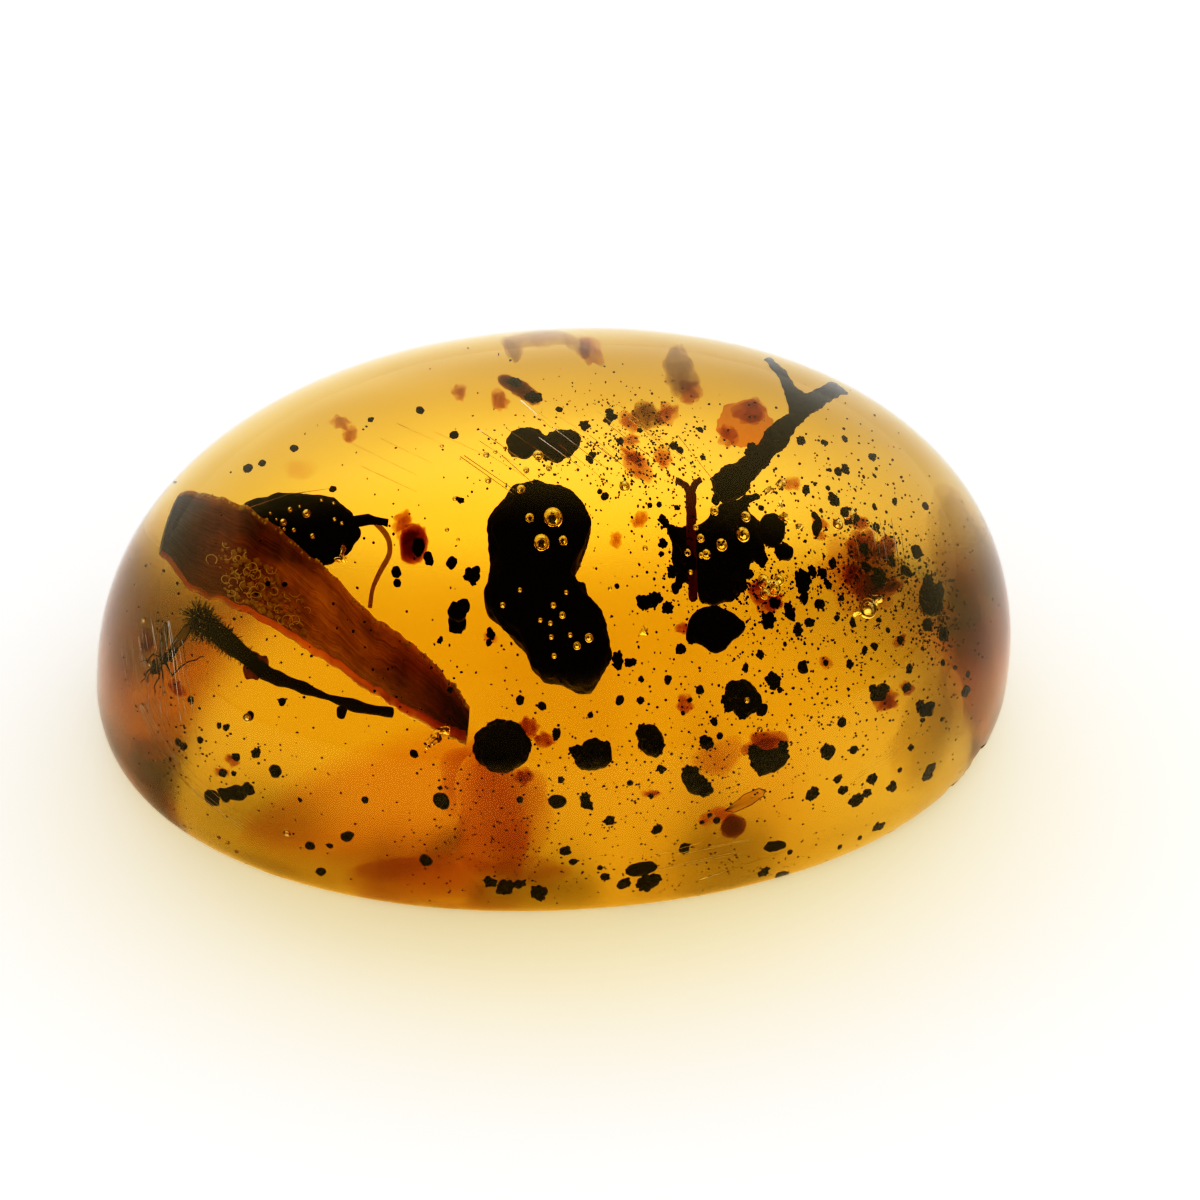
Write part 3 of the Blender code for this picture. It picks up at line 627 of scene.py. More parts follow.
def polishing_lines(stone):
    draw = random.Random(17)
    for low, high, (run, fall), count in LINE_FAMILIES:
        for number in range(count):
            x, y = draw.uniform(low[0], high[0]), draw.uniform(low[1], high[1])
            share = draw.uniform(0.5, 1.1)
            aside, lower = [draw.uniform(-LINE_SPREAD, LINE_SPREAD) for side in "xy"]
            scratch(stone, straight((x, y), (x + run * share + aside, y + fall * share + lower)), LINE_WIDTH)
    for number in range(RIM_LINES):
        inward = draw.uniform(0, RIM_BAND)
        pixels = [(x + RIM_INWARD[0] * inward, y + RIM_INWARD[1] * inward) for x, y in RIM_LINE]
        first = draw.randrange(2)
        scratch(stone, pixels[first : first + draw.choice((2, 3))], LINE_WIDTH)


stone = chipped_stone()
for share, bubbles in BUBBLES.items():
    for x, y, radius in bubbles:
        detail = 4 if radius > BIG_BUBBLE else 3
        stone.grain(seen_at((x, y), share), [radius * PIXEL] * 3, detail=detail, rough=0.0, hollow=True)
for number, (x, y, long, wide, turn, share) in enumerate(CRACKS):
    sizes = Vector((long, wide, 0.5 * wide)) * PIXEL
    stone.grain(seen_at((x, y), share), sizes, turn, tilt=50, rough=1.3, lumps=1.1, seed=number, hollow=True)
for start, finish in SCRATCHES:
    scratch(stone, straight(start, finish), SCRATCH_WIDTH)
polishing_lines(stone)
copal = stone.piece("copal", clear_resin("copal", *COPAL, COPAL_IOR), "copal", smooth_angle=25)
copal.data.materials.append(clear_resin("copal_ground", *COPAL, COPAL_IOR, BASE_ROUGHNESS))
for face in copal.data.polygons:
    if face.normal.z < -0.999 and face.center.z < 0.001 * MM:
        face.material_index = 1  # the flat base
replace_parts(copal, "copal_top", "copal_base")


# --- The strip of bark ---
# A reddish strip of inner bark, torn off wide at one end and narrow at the other. Its long edges are dry and
# curl up into a lip, golden above and red below, and a crust of resin froth sits nearer its wide end.

# Stations along the strip: a place on its upper edge and one on its lower edge, in millimetres
STRIP_EDGES = (
    ((-9.3, 2.6, 5.2), (-10.2, 0.9, 5.2)),
    ((-8.3, 2.3, 4.8), (-9.4, -0.3, 4.9)),
    ((-7.4, 2.0, 4.4), (-8.1, -0.7, 4.5)),
    ((-6.5, 1.4, 4.0), (-7.0, -1.0, 4.0)),
    ((-5.6, 0.7, 3.6), (-6.0, -1.4, 3.5)),
    ((-4.6, 0.0, 3.0), (-5.0, -1.6, 2.9)),
    ((-3.7, -0.1, 2.4), (-4.1, -1.6, 2.3)),
    ((-2.9, -0.4, 1.8), (-3.2, -1.5, 1.7)),
    ((-2.4, -0.8, 1.4), (-2.6, -1.4, 1.4)),
)
STRIP_THICKNESS = 0.20 * MM
STRIP_SAG = 0.22 * MM
STRIP_TEAR = 0.10 * MM
STRIP_RIPPLE = 0.035 * MM
STRIP_LIP = 0.10 * MM
LIP_WIDTH = 0.09  # of the strip's width
STRIP_STEPS = 12  # between two stations
STRIP_LANES = 20  # across
# Its colours along its length and, at its edges, across it, each with how far along or across it stands
BARK_TONES = (
    (0.0, (0.020, 0.010, 0.010)), (0.06, (0.100, 0.060, 0.050)), (0.14, (0.240, 0.090, 0.070)),
    (0.26, (0.420, 0.140, 0.100)), (0.38, (0.720, 0.460, 0.520)), (0.60, (0.720, 0.500, 0.600)),
    (0.76, (0.420, 0.220, 0.220)), (0.88, (0.220, 0.060, 0.050)), (1.0, (0.080, 0.020, 0.015)),
)
EDGE_COLOURS = (
    (0.0, (0.95, 0.62, 0.20)), (0.05, (0.75, 0.42, 0.16)), (0.95, (0.50, 0.07, 0.01)),
    (1.0, (0.80, 0.16, 0.02)),
)
# How much of the edge's colour there is across the strip, and the darkening by its grain and by its mottle
EDGE_SHARES = (
    (0.0, (0.9, 0.9, 0.9)), (0.018, (0.8, 0.8, 0.8)), (0.045, (0.0, 0.0, 0.0)), (0.965, (0.0, 0.0, 0.0)),
    (0.985, (0.7, 0.7, 0.7)), (1.0, (0.8, 0.8, 0.8)),
)
GRAIN_TONES = ((0.32, (0.5, 0.42, 0.4)), (0.68, (1.25, 1.2, 1.2)))
MOTTLE_TONES = ((0.35, (0.45, 0.40, 0.40)), (0.62, (1.2, 1.2, 1.25)))
BARK_GLOW = 0.53  # the bark is thin, and some of the light from below comes through it
BARK_IOR = 1.1  # it is soaked with resin, so it hardly bends that light
GRAIN_DEPTH = 0.04 * MM
CRUST_COLOUR = (0.60, 0.40, 0.27)
FROTH_COLOUR = (0.95, 0.82, 0.60)
# The shade in the froth's pits is painted as near-black grains, in this colour
PIT_SHADE_COLOUR = (0.008, 0.004, 0.003)
CRUST_ALONG = (0.17, 0.46, 0.30)  # where the froth starts, ends and lies thickest, as shares of the length
CRUST_ACROSS = (0.35, 0.92)
CRUST_BLOBS = 170
CRUST_CURLS = 46
CURL_STEP = 48  # degrees between the points of a curl
EDGE_GRAINS = 110  # the golden grains along the upper edge
PITS = ((0.30, 0.72), (0.385, 0.42), (0.335, 0.55))  # where each is, along and across the strip
FROTH_LIFT = Vector((0.0, 0.0, 0.07 * MM))


def between(stops, t):
    """A place on the smooth curve through the stops, where t goes from 0 to one less than their number."""
    index = min(int(t), len(stops) - 2)
    return on_curve(*with_ends(stops)[index : index + 4], t - index)


STRIP_UPPER = [Vector(upper) * MM for upper, lower in STRIP_EDGES]
STRIP_LOWER = [Vector(lower) * MM for upper, lower in STRIP_EDGES]


def on_strip(along, across):
    """A place on the strip's upper face. Along and across go from 0 to 1, across from its upper edge down."""
    t = along * (len(STRIP_EDGES) - 1)
    start, finish = between(STRIP_UPPER, t), between(STRIP_LOWER, t)
    tear = STRIP_TEAR * noise.noise(Vector((along * 31, 0.3 + across * 0.4, 2.0)))
    place = start.lerp(finish, across) + (start - finish).normalized() * tear
    lip = max(0.0, 1 - min(across, 1 - across) / LIP_WIDTH) ** 2
    ripple = STRIP_RIPPLE * noise.noise(Vector((along * 9, across * 14, 0.7)))
    place.z += STRIP_LIP * lip + ripple - STRIP_SAG * 4 * across * (1 - across)
    return place


def ramp(tree, source, stops):
    """Colours that follow a value, each given with the value that it stands at."""
    colours = tree.nodes.new("ShaderNodeValToRGB")
    elements = colours.color_ramp.elements
    elements[0].position, elements[1].position = stops[0][0], stops[-1][0]
    for position, colour in stops[1:-1]:
        elements.new(position)
    for element, (position, colour) in zip(elements, stops):
        element.color = (*colour, 1.0)
    tree.links.new(source, colours.inputs["Fac"])
    return colours.outputs["Color"]


def grain_noise(tree, place, scale, detail):
    texture = tree.nodes.new("ShaderNodeTexNoise")
    texture.inputs["Scale"].default_value = scale
    texture.inputs["Detail"].default_value = detail
    tree.links.new(place, texture.inputs["Vector"])
    return texture


def bark_material():
    """Mottled brown that changes along the strip, with lengthwise grain and edges of their own colours."""
    bark = sealed_finish("bark", BARK_TONES[1][1], 0.42)
    tree = bark.node_tree
    shader = tree.nodes["Principled BSDF"]
    shader.inputs["Transmission Weight"].default_value = BARK_GLOW
    shader.inputs["IOR"].default_value = BARK_IOR
    place = tree.nodes.new("ShaderNodeUVMap").outputs["UV"]
    along, across = axis(tree, place, "X"), axis(tree, place, "Y")

    def stretched(scales, scale, detail):
        texture = grain_noise(tree, vector_step(tree, "MULTIPLY", place, (*scales, 1.0)), scale, detail)
        texture.inputs["Roughness"].default_value = 0.62
        return texture.outputs["Fac"]

    def mix(kind, factor, first, second):
        blend = tree.nodes.new("ShaderNodeMix")
        blend.data_type = "RGBA"
        blend.blend_type = kind
        if isinstance(factor, float):
            blend.inputs["Factor"].default_value = factor
        else:
            tree.links.new(factor, blend.inputs["Factor"])
        tree.links.new(first, blend.inputs["A"])
        tree.links.new(second, blend.inputs["B"])
        return blend.outputs["Result"]

    grain = stretched((3.0, 26.0), 1.6, 6.0)
    mottle = stretched((7.0, 2.0), 1.5, 4.0)
    tones = mix("MULTIPLY", 1.0, ramp(tree, along, BARK_TONES), ramp(tree, grain, GRAIN_TONES))
    tones = mix("MULTIPLY", 0.8, tones, ramp(tree, mottle, MOTTLE_TONES))
    tones = mix("MIX", ramp(tree, across, EDGE_SHARES), tones, ramp(tree, across, EDGE_COLOURS))
    tree.links.new(tones, shader.inputs["Base Color"])
    relief = tree.nodes.new("ShaderNodeBump")
    relief.inputs["Strength"].default_value = 0.5
    relief.inputs["Distance"].default_value = GRAIN_DEPTH
    tree.links.new(grain, relief.inputs["Height"])
    tree.links.new(relief.outputs["Normal"], shader.inputs["Normal"])
    return bark


def bark_strip():
    strip = Heap()
    rows = STRIP_STEPS * (len(STRIP_EDGES) - 1)
    lanes = STRIP_LANES + 1
    drop = Vector((0.0, 0.0, STRIP_THICKNESS))
    upper = [on_strip(row / rows, lane / STRIP_LANES) for row in range(rows + 1) for lane in range(lanes)]
    points = upper + [point - drop for point in upper]
    under = len(upper)
    faces = []
    for row in range(rows):
        for lane in range(STRIP_LANES):
            here = row * lanes + lane
            ahead = here + lanes
            faces.append((here, ahead, ahead + 1, here + 1))
            faces.append((under + here, under + here + 1, under + ahead + 1, under + ahead))
        for here, turned in ((row * lanes, False), (row * lanes + STRIP_LANES, True)):
            side = (here, under + here, under + here + lanes, here + lanes)
            faces.append(side[::-1] if turned else side)
    for here, turned in ((0, True), (rows * lanes, False)):
        for lane in range(STRIP_LANES):
            side = (here + lane, under + here + lane, under + here + lane + 1, here + lane + 1)
            faces.append(side[::-1] if turned else side)
    strip.add(points, faces)
    piece = strip.piece("bark_strip_torn", bark_material(), "bark")
    layer = piece.data.uv_layers.new(name="along_grain")
    for corner in piece.data.loops:
        row, lane = divmod(corner.vertex_index % under, lanes)
        layer.data[corner.index].uv = (row / rows, lane / STRIP_LANES)
    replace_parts(piece, "bark_strip")


def froth_crust():
    """Froth that dried on the bark: small blobs, broken curls and golden grains along the edge, with
    near-black grains that paint the shade in its pits.
    """
    draw = random.Random(7)
    crust, curls, pits = Heap(), Heap(), Heap()
    for number in range(CRUST_BLOBS):
        spot = on_strip(draw.triangular(*CRUST_ALONG), draw.uniform(*CRUST_ACROSS))
        size = draw.uniform(0.025, 0.085) * MM
        crust.grain(spot, (size, size, size * 0.5), detail=3, rough=0.25, seed=number)
    for number in range(CRUST_CURLS):
        middle = on_strip(draw.triangular(*CRUST_ALONG), draw.uniform(*CRUST_ACROSS)) + FROTH_LIFT
        radius, start = draw.uniform(0.05, 0.15) * MM, draw.uniform(0, 360)
        stops = []
        for step in range(draw.randrange(4, 8)):
            angle = math.radians(start + CURL_STEP * step)
            stops.append(middle + Vector((math.cos(angle), math.sin(angle), 0.0)) * radius)
        curls.thread(stops, 0.013 * MM, 0.008 * MM, sides=5)
    for number in range(EDGE_GRAINS):
        spot = on_strip(draw.uniform(0.08, 0.98), draw.uniform(0.0, 0.022))
        curls.grain(spot, [draw.uniform(0.016, 0.045) * MM] * 3, rough=0.3, seed=number)
    # Painted shade: a near-black grain set on the froth at each pit
    for along, across in PITS:
        pits.grain(on_strip(along, across) + FROTH_LIFT, Vector((0.06, 0.06, 0.03)) * MM, seed=3)
    crust.piece("bark_crust", sealed_finish("froth_crust", CRUST_COLOUR, 0.35), "bark")
    curls.piece("bark_froth", sealed_finish("froth", FROTH_COLOUR, 0.3), "bark")
    pits.piece("bark_pit_shades", sealed_finish("bark_pit", PIT_SHADE_COLOUR, 0.5), "bark")


bark_strip()
froth_crust()


# --- The charred wood ---
# Lumps, chips and sticks of charred wood: one long lump in the middle, debris above it, a tangle with a twig
# behind, a flake, a chip and a round knot. They are dull black, knobbly and ragged at their edges.

CHAR_COLOUR = (0.003, 0.002, 0.0015)
CHAR_GREY = (0.008, 0.006, 0.004)
CHAR_MOTTLE = 3500.0  # noise cells per metre
VOXEL = 0.1 * MM
FINE_SIZE = 0.12 * MM  # of the ragged grain that every roughened piece has
# The layers of a lump from its underside up: how far in from its outline and how high each lies
LUMP_LAYERS = ((1.0, -0.5), (0.35, -0.32), (0.0, 0.0), (0.35, 0.32), (1.0, 0.5))
LUMP_PIXELS = (
    (513, 484), (485, 521), (490, 560), (485, 591), (485, 606), (502, 627), (524, 647), (530, 665),
    (549, 679), (570, 685), (593, 692), (600, 682), (607, 666), (614, 662), (610, 634), (605, 619),
    (591, 604), (586, 582), (571, 583), (579, 559), (588, 544), (592, 522), (582, 503), (570, 487),
    (540, 480),
)
FLAKE_PIXELS = (
    (697, 609), (716, 605), (733, 612), (747, 623), (747, 630), (733, 640), (728, 650), (716, 655),
    (709, 653), (701, 644), (685, 642), (686, 623),
)
CHIP_PIXELS = (
    (760, 520), (768, 513), (779, 514), (787, 522), (786, 540), (776, 550), (764, 546), (757, 534),
)
BED_HEIGHT = 3.6 * MM  # the lumps lie on a slope that is this high at the stone's middle
BED_SLOPE = 0.36  # and rises this steeply to the back
# A skin, in millimetres: how far apart its knobs are, how high they stand, and the height of its fine grain
CHIP_SKIN = (0.3, 0.05, 0.02)
WOOD_SKIN = (0.28, 0.16, 0.07)
# Each lump's name, the node that it stands in for, its outline, how far above the bed it lies, its thickness
# and its rounded edge's width in millimetres, and its skin
LUMPS = (
    ("long_lump", "black_lump", LUMP_PIXELS, 0.0, 1.1, 0.34, (0.5, 0.16, 0.05)),
    ("bark_flake", "black_flake", FLAKE_PIXELS, 0.2, 0.30, 0.12, CHIP_SKIN),
    ("chip", "corner_chip", CHIP_PIXELS, 0.5, 0.34, 0.10, CHIP_SKIN),
)


def on_bed(pixel, lift):
    """The place seen at a pixel on the sloping bed, or that far above it."""
    point, inner = meet_face(pixel)
    fall = point.z - BED_HEIGHT - lift - BED_SLOPE * point.y
    return point + inner * (fall / (BED_SLOPE * inner.y - inner.z))


def char_material():
    char = sealed_finish("charred_wood", CHAR_COLOUR, 0.55)
    tree = char.node_tree
    place = tree.nodes.new("ShaderNodeTexCoord").outputs["Object"]
    mottle = grain_noise(tree, place, CHAR_MOTTLE, 4.0).outputs["Fac"]
    tones = ramp(tree, mottle, ((0.45, CHAR_COLOUR), (0.75, CHAR_GREY)))
    tree.links.new(tones, tree.nodes["Principled BSDF"].inputs["Base Color"])
    return char


def push_out(piece, label, size, height):
    """Pushes a piece's faces in and out by a cloudy pattern."""
    texture = bpy.data.textures.new(f"{piece.name}_{label}", "CLOUDS")
    texture.noise_scale = size
    texture.noise_depth = 2
    push = piece.modifiers.new(label, "DISPLACE")
    push.texture = texture
    push.texture_coords = "LOCAL"
    push.mid_level = 0.5
    push.strength = height


def roughen(piece, knob_size, knob_height, fine_height, thin=False):
    """Even faces, then knobs and a fine ragged surface. A thin piece keeps its own faces, only finer."""
    if thin:
        piece.modifiers.new("Joined", "WELD").merge_threshold = 0.002 * MM
    else:
        even = piece.modifiers.new("Even", "REMESH")
        even.mode = "VOXEL"
        even.voxel_size = VOXEL
        even.use_smooth_shade = True
    finer = piece.modifiers.new("Finer", "SUBSURF")
    finer.subdivision_type = "SIMPLE" if thin else "CATMULL_CLARK"
    finer.levels = 2 if thin else 1
    finer.render_levels = finer.levels
    push_out(piece, "Knobs", knob_size * MM, knob_height * MM)
    push_out(piece, "Fine", FINE_SIZE, fine_height * MM)


def flat_lump(name, node, pixels, lift, thickness, shoulder, skin):
    """A lump with an outline of its own: thick within its outline, and rounded off at its edge."""
    outline = [on_bed(pixel, lift * MM) for pixel in pixels]
    middle = sum(outline, Vector()) / len(outline)
    rise = Vector((0.0, -BED_SLOPE, 1.0)).normalized()
    points = []
    for inward, level in LUMP_LAYERS:
        for point in outline:
            pull = (middle - point).normalized() * inward * (shoulder * MM)
            points.append(point + pull + rise * level * (thickness * MM))
    points += [middle - rise * 0.5 * (thickness * MM), middle + rise * 0.5 * (thickness * MM)]
    count = len(outline)
    faces = [(a, d, c, b) for a, b, c, d in ring_faces(len(LUMP_LAYERS), count)]
    last = (len(LUMP_LAYERS) - 1) * count
    for number in range(count):
        after = (number + 1) % count
        faces.append((number, after, len(points) - 2))
        faces.append((last + after, last + number, len(points) - 1))
    lump = Heap()
    lump.add(points, faces)
    piece = lump.piece(name, CHAR, "charred_wood")
    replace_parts(piece, node)
    roughen(piece, *skin)


def dress(name, material):
    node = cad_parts[name]
    node.data.materials.clear()
    node.data.materials.append(material)
    return node


CHAR = char_material()
for lump in LUMPS:
    flat_lump(*lump)
for name in ("upper_debris", "wood_tangle", "rear_twig", "end_knot"):
    roughen(dress(name, CHAR), *WOOD_SKIN)


# --- The seed ---
# A flattened dark seed with a wrinkled coat, tilted in the resin, with a short stalk. A glassy brown tendril
# hangs from the stalk.

SEED_CENTRE = (-5.7, 2.25, 2.85)
SEED_HALF_SIZES = (1.25, 0.66, 0.42)
SEED_TURN = -12
SEED_TILT = 18
WRINKLE_SIZE = 0.25 * MM
WRINKLE_HEIGHT = 0.10 * MM
TENDRIL_COLOUR = (0.22, 0.14, 0.06)
STALK = ((-4.9, 2.2, 2.8), (-4.2, 2.25, 2.8), (-3.8, 2.1, 2.85))
TENDRIL = (
    (-4.1, 2.22, 2.8), (-3.85, 1.9, 2.75), (-3.85, 1.6, 2.7), (-4.1, 1.35, 2.6), (-4.3, 1.1, 2.5),
    (-4.4, 0.8, 2.4),
)


def in_metres(stops):
    return [Vector(stop) * MM for stop in stops]


def seed_and_tendril():
    coat, tendril = Heap(), Heap()
    coat.grain(*in_metres((SEED_CENTRE, SEED_HALF_SIZES)), SEED_TURN, SEED_TILT, detail=5, seed=1)
    coat.thread(in_metres(STALK), 0.11 * MM, 0.06 * MM, knots=0.3)
    tendril.thread(in_metres(TENDRIL), 0.06 * MM, 0.045 * MM, sides=12, steps=6, knots=0.2)
    piece = coat.piece("seed_coat", CHAR, "seed")
    push_out(piece, "Wrinkles", WRINKLE_SIZE, WRINKLE_HEIGHT)
    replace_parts(piece, "seed")
    tendril.piece("tendril", stained_finish("brown_tendril", TENDRIL_COLOUR), "seed")


seed_and_tendril()


# --- The scraps ---
# Thin scraps of leaf and crumbled bark, which light comes through where they are thin: an orange leaf and
# brown clots at the back, a curled scrap, a stick, and a red scrap beside the seed's tendril.

# Each scrap's colour of light let through, how fast it darkens per metre, and the height of its knobs in mm
SCRAPS = {
    "leaf_scrap": ((0.55, 0.16, 0.0), 11000, 0.12),
    "rear_curl": ((0.40, 0.22, 0.0), 3800, 0.14),
    "rear_stick": ((0.38, 0.12, 0.0), 8500, 0.12),
    "rear_clot": ((0.42, 0.24, 0.0), 2900, 0.26),
    "upper_clot": ((0.42, 0.24, 0.0), 5200, 0.26),
    "red_clot": ((0.55, 0.15, 0.0), 4600, 0.26),
    "crumb_14": ((0.45, 0.27, 0.0), 1700, 0.30),
}
SCRAP_KNOBS = 0.28  # how far apart the knobs are, in millimetres
SCRAP_GRAIN = 0.4  # the fine grain's height, as a share of the knobs'
FLAKE_SKIN = (0.3, 0.14, 0.06)
FLAKE_COLOUR = (0.68, 0.36, 0.15)


def sealed_scraps():
    for name, (tint, density, knob_height) in SCRAPS.items():
        finish = clear_resin(name, tint, density)
        roughen(dress(name, finish), SCRAP_KNOBS, knob_height, SCRAP_GRAIN * knob_height)
    flake = dress("rear_flake", stained_finish("orange_scrap", FLAKE_COLOUR))
    roughen(flake, *FLAKE_SKIN)


sealed_scraps()


# --- The stem and the twigs ---
# A thin reddish stem with a forked tip, and a hairy twig with a pale line painted along it as a highlight, a
# reddish knob at its lower end and a jointed branch. The twig's hairs stand out all round its upper end.

# The paths of the twig's shaft and of its branch, in millimetres
SHAFT = ((-8.75, 0.15, 3.32), (-8.3, -0.15, 3.2), (-7.9, -0.45, 3.05), (-7.5, -0.75, 2.9))
BRANCH = (
    (-7.7, -0.6, 2.95), (-7.2, -0.85, 2.7), (-6.5, -0.95, 2.45), (-5.7, -0.95, 2.1), (-4.9, -0.95, 1.8),
    (-4.2, -0.9, 1.6),
)
KNOB_CENTRE = (-7.5, -0.82, 2.88)
KNOB_HALF_SIZES = (0.24, 0.30, 0.22)
# The hairs: the stretch of the shaft that they stand on, their length in millimetres and their number
HAIR_TUFTS = ((0.0, 0.2, 0.36, 260), (0.1, 0.6, 0.22, 300), (0.6, 1.0, 0.12, 140))
HAIR_ROOT = 0.14  # the part of each hair that is inside the bark, in millimetres
BEAD_SHARE = 0.45  # of the long hairs, those that have a bead of resin at the tip
BEAD_SIZE = 0.016 * MM
STEM_COLOUR = (0.20, 0.022, 0.012)
STEM_SKIN = (0.2, 0.06, 0.03)
TWIG_COLOUR = (0.020, 0.012, 0.004)
# The pale line along the twig is a painted highlight, in this colour
TWIG_HIGHLIGHT_COLOUR = (0.30, 0.22, 0.07)
KNOB_COLOUR = (0.16, 0.05, 0.02)
BEAD_COLOUR = (0.75, 0.62, 0.38)
HAIR_COLOUR = (0.060, 0.035, 0.012)


def hairy_twig():
    twig, painted_highlight, knob, hairs, beads = [Heap() for piece in range(5)]
    shaft = in_metres(SHAFT)
    twig.thread(shaft, 0.19 * MM, 0.17 * MM, sides=14, steps=10, knots=0.35)
    twig.thread(in_metres(BRANCH), 0.145 * MM, 0.10 * MM, sides=12, steps=9, knots=0.8)
    # The painted highlight: a thin pale thread along the shaft's upper stretch, lifted off it towards the
    # camera
    lift = (view_back + view_right * 0.25) * 0.17 * MM
    painted_highlight.thread([stop + lift for stop in shaft[:3]], 0.035 * MM, 0.02 * MM, steps=8)
    knob.grain(*in_metres((KNOB_CENTRE, KNOB_HALF_SIZES)), turn=-50, detail=4, rough=0.5, seed=5)
    draw = random.Random(11)
    for first, last, length, count in HAIR_TUFTS:
        for number in range(count):
            root = between(shaft, (len(shaft) - 1) * draw.uniform(first, last))
            out = Vector([draw.gauss(0, 1) for axis in "xyz"]).normalized()
            tip = root + out * (HAIR_ROOT + length * draw.uniform(0.5, 1.0)) * MM
            bend = root.lerp(tip, 0.6) + Vector((0.0, 0.0, 0.03 * MM))
            hairs.thread([root, bend, tip], 0.016 * MM, 0.006 * MM, sides=4, steps=2)
            if not first and draw.random() < BEAD_SHARE:
                beads.grain(tip, [BEAD_SIZE] * 3, detail=1, rough=0.0)
    bark = twig.piece("hairy_twig_bark", sealed_finish("hairy_twig", TWIG_COLOUR, 0.6), "twig")
    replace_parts(bark, "hairy_twig")
    painted_highlight.piece("twig_painted_highlight", sealed_finish("twig_painted_highlight", TWIG_HIGHLIGHT_COLOUR, 0.5), "twig")
    knob.piece("twig_knob", stained_finish("twig_knob", KNOB_COLOUR), "twig")
    beads.piece("hair_tips", sealed_finish("hair_tip", BEAD_COLOUR, 0.4), "twig", smooth_angle=70)
    hairs.piece("twig_hairs", sealed_finish("twig_hair", HAIR_COLOUR, 0.4), "twig")


STEM = sealed_finish("red_stem", STEM_COLOUR, 0.45)
roughen(dress("thin_stem", STEM), *STEM_SKIN, thin=True)
hairy_twig()


# --- The insects ---
# A midge near the left edge, with a round dark thorax, a ringed body, glassy veined wings and long legs. A
# barklouse in front, with a reddish head and thorax, a big dark abdomen, long feelers and a wing folded up.

# Where each insect lies in millimetres, and the azimuth and elevation that the plane it is drawn in faces
MIDGE_PLACE = ((-10.05, -0.95, 3.3), -30, 42)
BARKLOUSE_PLACE = ((3.1, -6.1, 1.75), 0, 36)
FILM_COLOUR = (0.62, 0.60, 0.50)
MIDGE_BROWN = (0.012, 0.005, 0.003)
MIDGE_VEIN = (0.05, 0.022, 0.006)
BARKLOUSE_FILM = (0.92, 0.72, 0.45)
BARKLOUSE_VEIN = (0.08, 0.03, 0.008)
BARKLOUSE_EYE = (0.010, 0.004, 0.002)
# Light shows through the barklouse: the colour that it lets through and how fast it darkens per metre
BARKLOUSE_RED = ((0.75, 0.25, 0.0), 3800)
BARKLOUSE_DARK = ((0.45, 0.08, 0.0), 6500)


def in_place(spot, azimuth, elevation):
    """Axes for an insect that is drawn flat in millimetres, with its own +Z looking out at an angle."""
    turned = Matrix.Rotation(math.radians(azimuth), 4, "Z")
    turned = turned @ Matrix.Rotation(math.radians(90 - elevation), 4, "X")
    return Matrix.Translation(Vector(spot) * MM) @ turned @ Matrix.Scale(MM, 4)


def ringed_body(insect, start, finish, widest, rings, seed):
    """A body of overlapping rings that taper towards both ends."""
    for number in range(rings):
        share = number / (rings - 1)
        spot = Vector(start).lerp(Vector(finish), share)
        size = widest * math.sin(math.pi * (0.18 + 0.68 * share))
        insect.grain(spot, [size] * 3, detail=3, rough=0.08, seed=seed + number)


def leg(insect, stops, first=0.026, last=0.010):
    """A jointed leg or a feeler, straight between its joints and thicker at each."""
    path = [Vector(stop) for stop in stops]
    lengths = len(path) - 1
    for number, (start, finish) in enumerate(zip(path, path[1:])):
        here = first + (last - first) * number / lengths
        after = first + (last - first) * (number + 1) / lengths
        bow = start.lerp(finish, 0.5) + Vector((0.0, 0.02, 0.02))
        insect.thread([start, bow, finish], here, after, sides=6, steps=3)
        insect.grain(finish, [1.25 * after] * 3, rough=0.0)


def wing(films, veins, outline, spokes):
    """A glassy wing: a film within its outline, a vein round its edge, and veins that fan out across it."""
    edge = [Vector((x, y, 0.05 * math.sin(3 * x + 2 * y))) for x, y in outline]
    films.plate(edge, Vector((0.0, 0.0, 0.012)))
    for start, finish in zip(edge, [*edge[1:], edge[0]]):
        veins.thread([start, finish], 0.011, 0.011, sides=5, steps=1)
    for root, tip in spokes:
        start, finish = edge[root], edge[tip]
        bow = start.lerp(finish, 0.5) + Vector((0.03, -0.02, 0.0))
        veins.thread([start, bow, finish], 0.010, 0.006, sides=5, steps=3)


